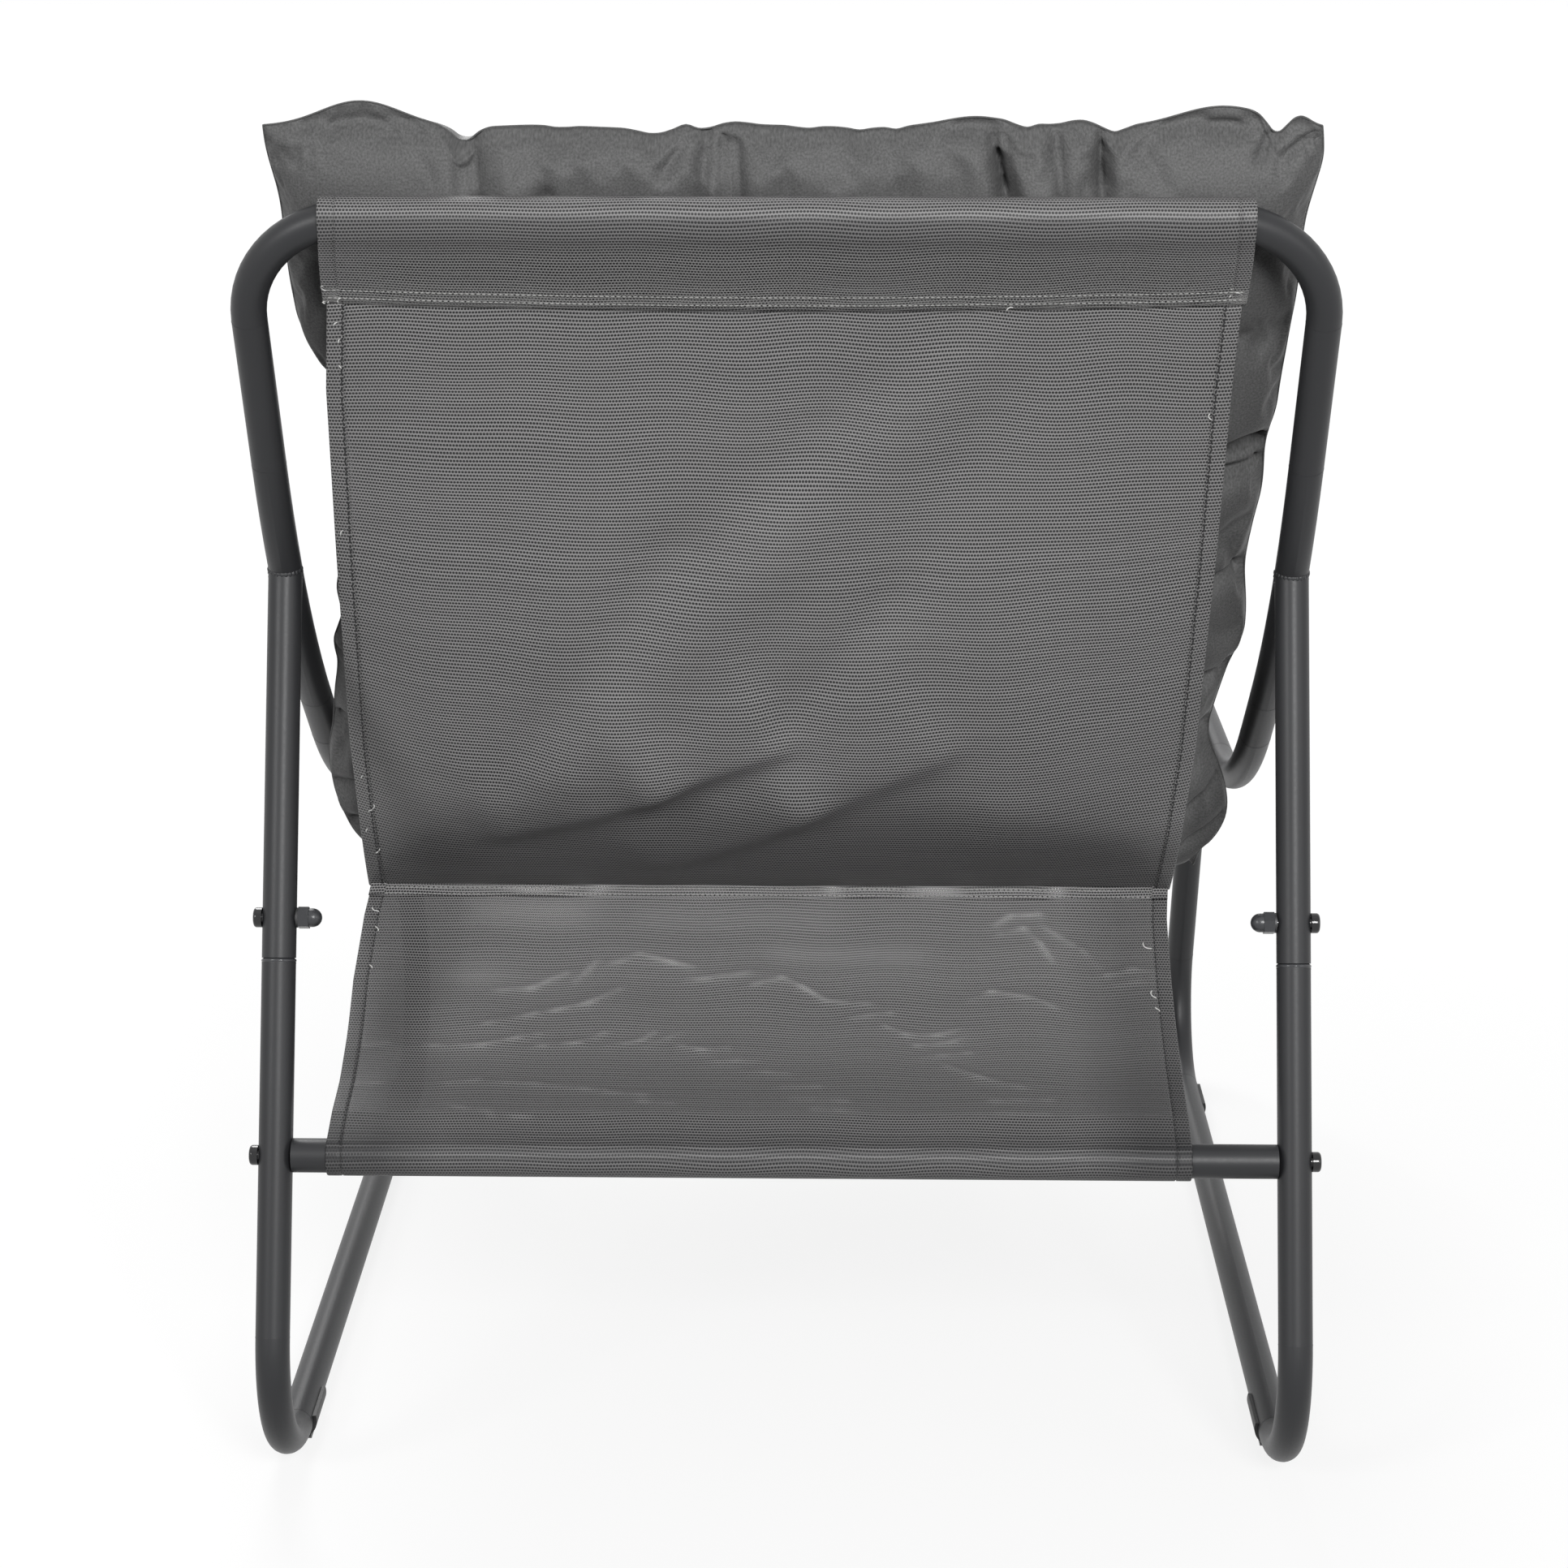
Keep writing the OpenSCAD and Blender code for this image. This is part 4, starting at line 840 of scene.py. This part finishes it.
def cover_mesh(front, rear, flat, border, name):
    """Closed cover: the front grid, and the rear grid with its border points shared with the front's."""
    index = np.arange(border.size).reshape(border.shape)
    rear_index = np.where(border, index, index.size + np.cumsum(~border.ravel()).reshape(border.shape) - 1)
    faces = grid_faces(*border.shape)
    both = np.concatenate([faces, rear_index.ravel()[faces][:, ::-1]])
    points = np.concatenate([front.reshape(-1, 3), rear[~border]])
    uv = np.concatenate([flat.reshape(-1, 2), flat[~border]])
    return piece(name, points, both, soft_cloth, "cushion", uv)


def rim(shape):
    """Mask of a grid's border."""
    mask = np.ones(shape, bool)
    mask[1:-1, 1:-1] = False
    return mask


def make_cushion(across=108, lengthwise=136, times=3):
    """Cushion from its grid: made plump on the coarse grid, refined, then folded and gathered along its seams."""
    x, s, high, low = cushion_grid(across, lengthwise)
    front, rear, border = lay(x, s, high), lay(x, s, low), rim(x.shape)
    column, row = pulls(x, s)
    held_front = border | (column * row > 0.93) | (np.abs(s) < 45)
    held_rear = ((s < 480) & (np.abs(x - 8) < 262)) | (np.abs(s) < 45)
    trial = cover_mesh(front, rear, np.stack([x, s], -1), border, "cushion_trial")
    plump(trial, np.concatenate([held_front.ravel(), held_rear[~border]]).astype(float))
    done = np.empty(len(trial.data.vertices) * 3, np.float32)
    trial.data.vertices.foreach_get("co", done)
    done = done.reshape(-1, 3) / MM
    bpy.data.objects.remove(trial)
    front = done[:border.size].reshape(front.shape)
    loose = smooth(np.clip(ramp(s, 488, 543) + ramp(np.abs(x - 8), 262, 292), 0, 1))[..., None]
    settled = front.copy()
    settled[~border] = done[border.size:]
    rear = np.where(border[..., None], front, rear + (settled - rear) * loose)
    x, s, high, low = (finer(a, times) for a in (x, s, high, low))
    front, rear, border = finer(front, times), finer(rear, times), rim(x.shape)
    from_sides = np.minimum(edge_at(LEFT_EDGE, s) - x, x - edge_at(RIGHT_EDGE, s))
    from_seam = np.minimum(from_sides, np.minimum(TOP_S - s, s - FRONT_S))
    inside = ramp(from_seam, 0, 4)
    near_edge = np.clip(ramp(np.abs(x), 250, 275) + ramp(s, 490, 510), 0, 1)
    gathers = 0.35 * ripple(x, s, 51, 17.0) * np.exp(-np.maximum(from_seam, 0) / 18)
    depth = (fold_field(x, s, REAR_FOLDS, 1.3) * near_edge + gathers) * inside
    rear = rear + lay(x, s, low + depth) - lay(x, s, low)
    front = front + lay(x, s, high - gathers * inside) - lay(x, s, high)
    cover = cover_mesh(front, rear, np.stack([x, s], -1), border, "cushion_cover")
    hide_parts("cushion_back", "cushion_seat")
    seam = np.concatenate([front[:, 0], front[-1, 1:], front[-2::-1, -1], front[0, -2::-1]])
    return seam[:-1], front, x, s


seam_line, front_face, face_x, face_s = make_cushion()


def seam_ridge():
    """Narrow ridge along the cushion's knife-edge seam: a round of cloth 1.2 mm thick."""
    path = np.concatenate([seam_line, seam_line[:1]])
    along = unit(np.roll(path, -1, 0) - np.roll(path, 1, 0))
    side = unit(np.cross(along, np.array([0.3, -0.6, 0.74])))
    a = np.linspace(0, 2 * math.pi, 8, endpoint=False)
    points = path[:, None] + 0.6 * rings(len(a), side, np.cross(along, side))
    uv = np.stack(np.broadcast_arrays(distances(path)[:, None], a[None] * 1.1), -1)
    faces = grid_faces(len(path), len(a), True)
    return piece("cushion_seam", points, faces, soft_cloth, "cushion", uv)


def tuft_tacks():
    """Two short tacks of thread in each tuft on the front, over the deepest point of the cover."""
    steps = TUFT_PITCH / 2 + TUFT_PITCH * np.arange(4)
    rows = np.concatenate([TOP_S - steps, FRONT_S + steps])
    spots = [(k * TUFT_PITCH, s) for s in rows for k in (-1.5, -0.5, 0.5, 1.5)]
    found = [np.unravel_index(np.argmin((face_x - x) ** 2 + (face_s - s) ** 2), face_x.shape) for x, s in spots]
    lines = []
    for i, j in found:
        across = unit(front_face[i + 1, j] - front_face[i - 1, j])
        down = unit(front_face[i, j + 1] - front_face[i, j - 1])
        middle_of = front_face[i, j] + 0.4 * np.cross(across, down)
        lines += [np.stack([middle_of + d * down + k * across for k in (-5, 0, 5)]) for d in (-1.2, 1.2)]
    return sewn(lines, (0.1, -0.7, 0.7), 3.4, 3.6, 0.6, "tuft_tacks", thread_dark, body="cushion")


seam_ridge()
tuft_tacks()


# ---- Stage, light and camera ----

def lamp(name, size, place, aim, watts):
    """Square soft light that faces aim."""
    light = bpy.data.lights.new(name, "AREA")
    light.shape, light.size, light.energy = "SQUARE", size, watts
    obj = bpy.data.objects.new(name, light)
    obj.location = place
    obj.rotation_euler = (Vector(aim) - Vector(place)).to_track_quat("-Z", "Y").to_euler()
    bpy.context.scene.collection.objects.link(obj)


def pale_floor():
    """Matt pale studio floor: mid grey for the light it throws back, near white to the camera and in gloss, with the
    chair's soft shadow kept near it."""
    made, t, out = material("matt pale studio floor")
    seen = seen_or_mirrored(t)
    far = add(t, "VectorMath", {0: add(t, "TexCoord").outputs["Object"]}, operation="LENGTH").outputs["Value"]
    white_share = add(t, "MapRange", {"Value": far, "From Min": 0.5, "From Max": 1.4, "To Min": 0.82, "To Max": 1.0})
    part = add(t, "Math", {0: seen, 1: white_share}, operation="MULTIPLY")
    matt = add(t, "BsdfDiffuse", {"Color": mixed(t, seen, "#282828", "#fafafa")})
    white = add(t, "Emission", {"Color": (1, 1, 1, 1), "Strength": 1.03})
    both = add(t, "MixShader", {0: part, 1: matt, 2: white})
    t.links.new(both.outputs[0], out.inputs[0])
    mesh = bpy.data.meshes.new("floor")
    half, drop = 14.0, -0.0004
    corners = ((-1, -1), (1, -1), (1, 1), (-1, 1))
    mesh.from_pydata([(x * half, y * half, drop) for x, y in corners], [], [(0, 1, 2, 3)])
    mesh.materials.append(made)
    obj = bpy.data.objects.new("floor", mesh)
    bpy.context.scene.collection.objects.link(obj)


def studio():
    """White surround, dimmer as a light than as it is seen, and five soft lights: a key, two at the sides and one above
    on the rear, and one for the front."""
    world = bpy.data.worlds.new("studio")
    bpy.context.scene.world = world
    world.use_nodes = True
    t = world.node_tree
    t.nodes.clear()
    strength = ranged(t, seen_or_mirrored(t), 0.08, 1.0)
    sky = add(t, "Background", {"Color": (1, 1, 1, 1), "Strength": strength})
    out = t.nodes.new("ShaderNodeOutputWorld")
    t.links.new(sky.outputs[0], out.inputs[0])
    lamp("key light", 0.9, (-0.75, 2.9, 1.9), (0, 0.2, 0.5), 61)
    lamp("left light", 0.9, (2.0, 2.4, 1.75), (0, 0.1, 0.5), 29)
    lamp("top light", 1.8, (0.3, 0.7, 2.9), (0, 0.1, 0.5), 2)
    lamp("right light", 1.2, (-2.3, 1.9, 1.3), (0, 0.1, 0.5), 8)
    lamp("front light", 1.7, (0.6, -2.3, 2.7), (0, -0.1, 0.5), 84)


def photo_camera():
    """Camera behind and above the chair, worked out from its legs, runners and bars: a focal length of 4000 pixels on a
    frame 1932 wide."""
    data = bpy.data.cameras.new("camera")
    data.sensor_width = 36.0
    data.lens = data.sensor_width * 4000 / 1932
    data.clip_end = 60
    obj = bpy.data.objects.new("camera", data)
    down, turn = math.radians(17.22), math.radians(-0.94)
    ahead = Vector((-math.sin(turn) * math.cos(down), -math.cos(turn) * math.cos(down), -math.sin(down)))
    right = Vector((-math.cos(turn), math.sin(turn), 0))
    turned = Matrix((right, right.cross(ahead), -ahead)).transposed().to_4x4()
    obj.matrix_world = Matrix.Translation(Vector((-0.0315, 2.2612, 1.0651))) @ turned
    bpy.context.scene.collection.objects.link(obj)
    bpy.context.scene.camera = obj


pale_floor()
studio()
photo_camera()
bpy.context.scene.view_settings.view_transform = "Standard"
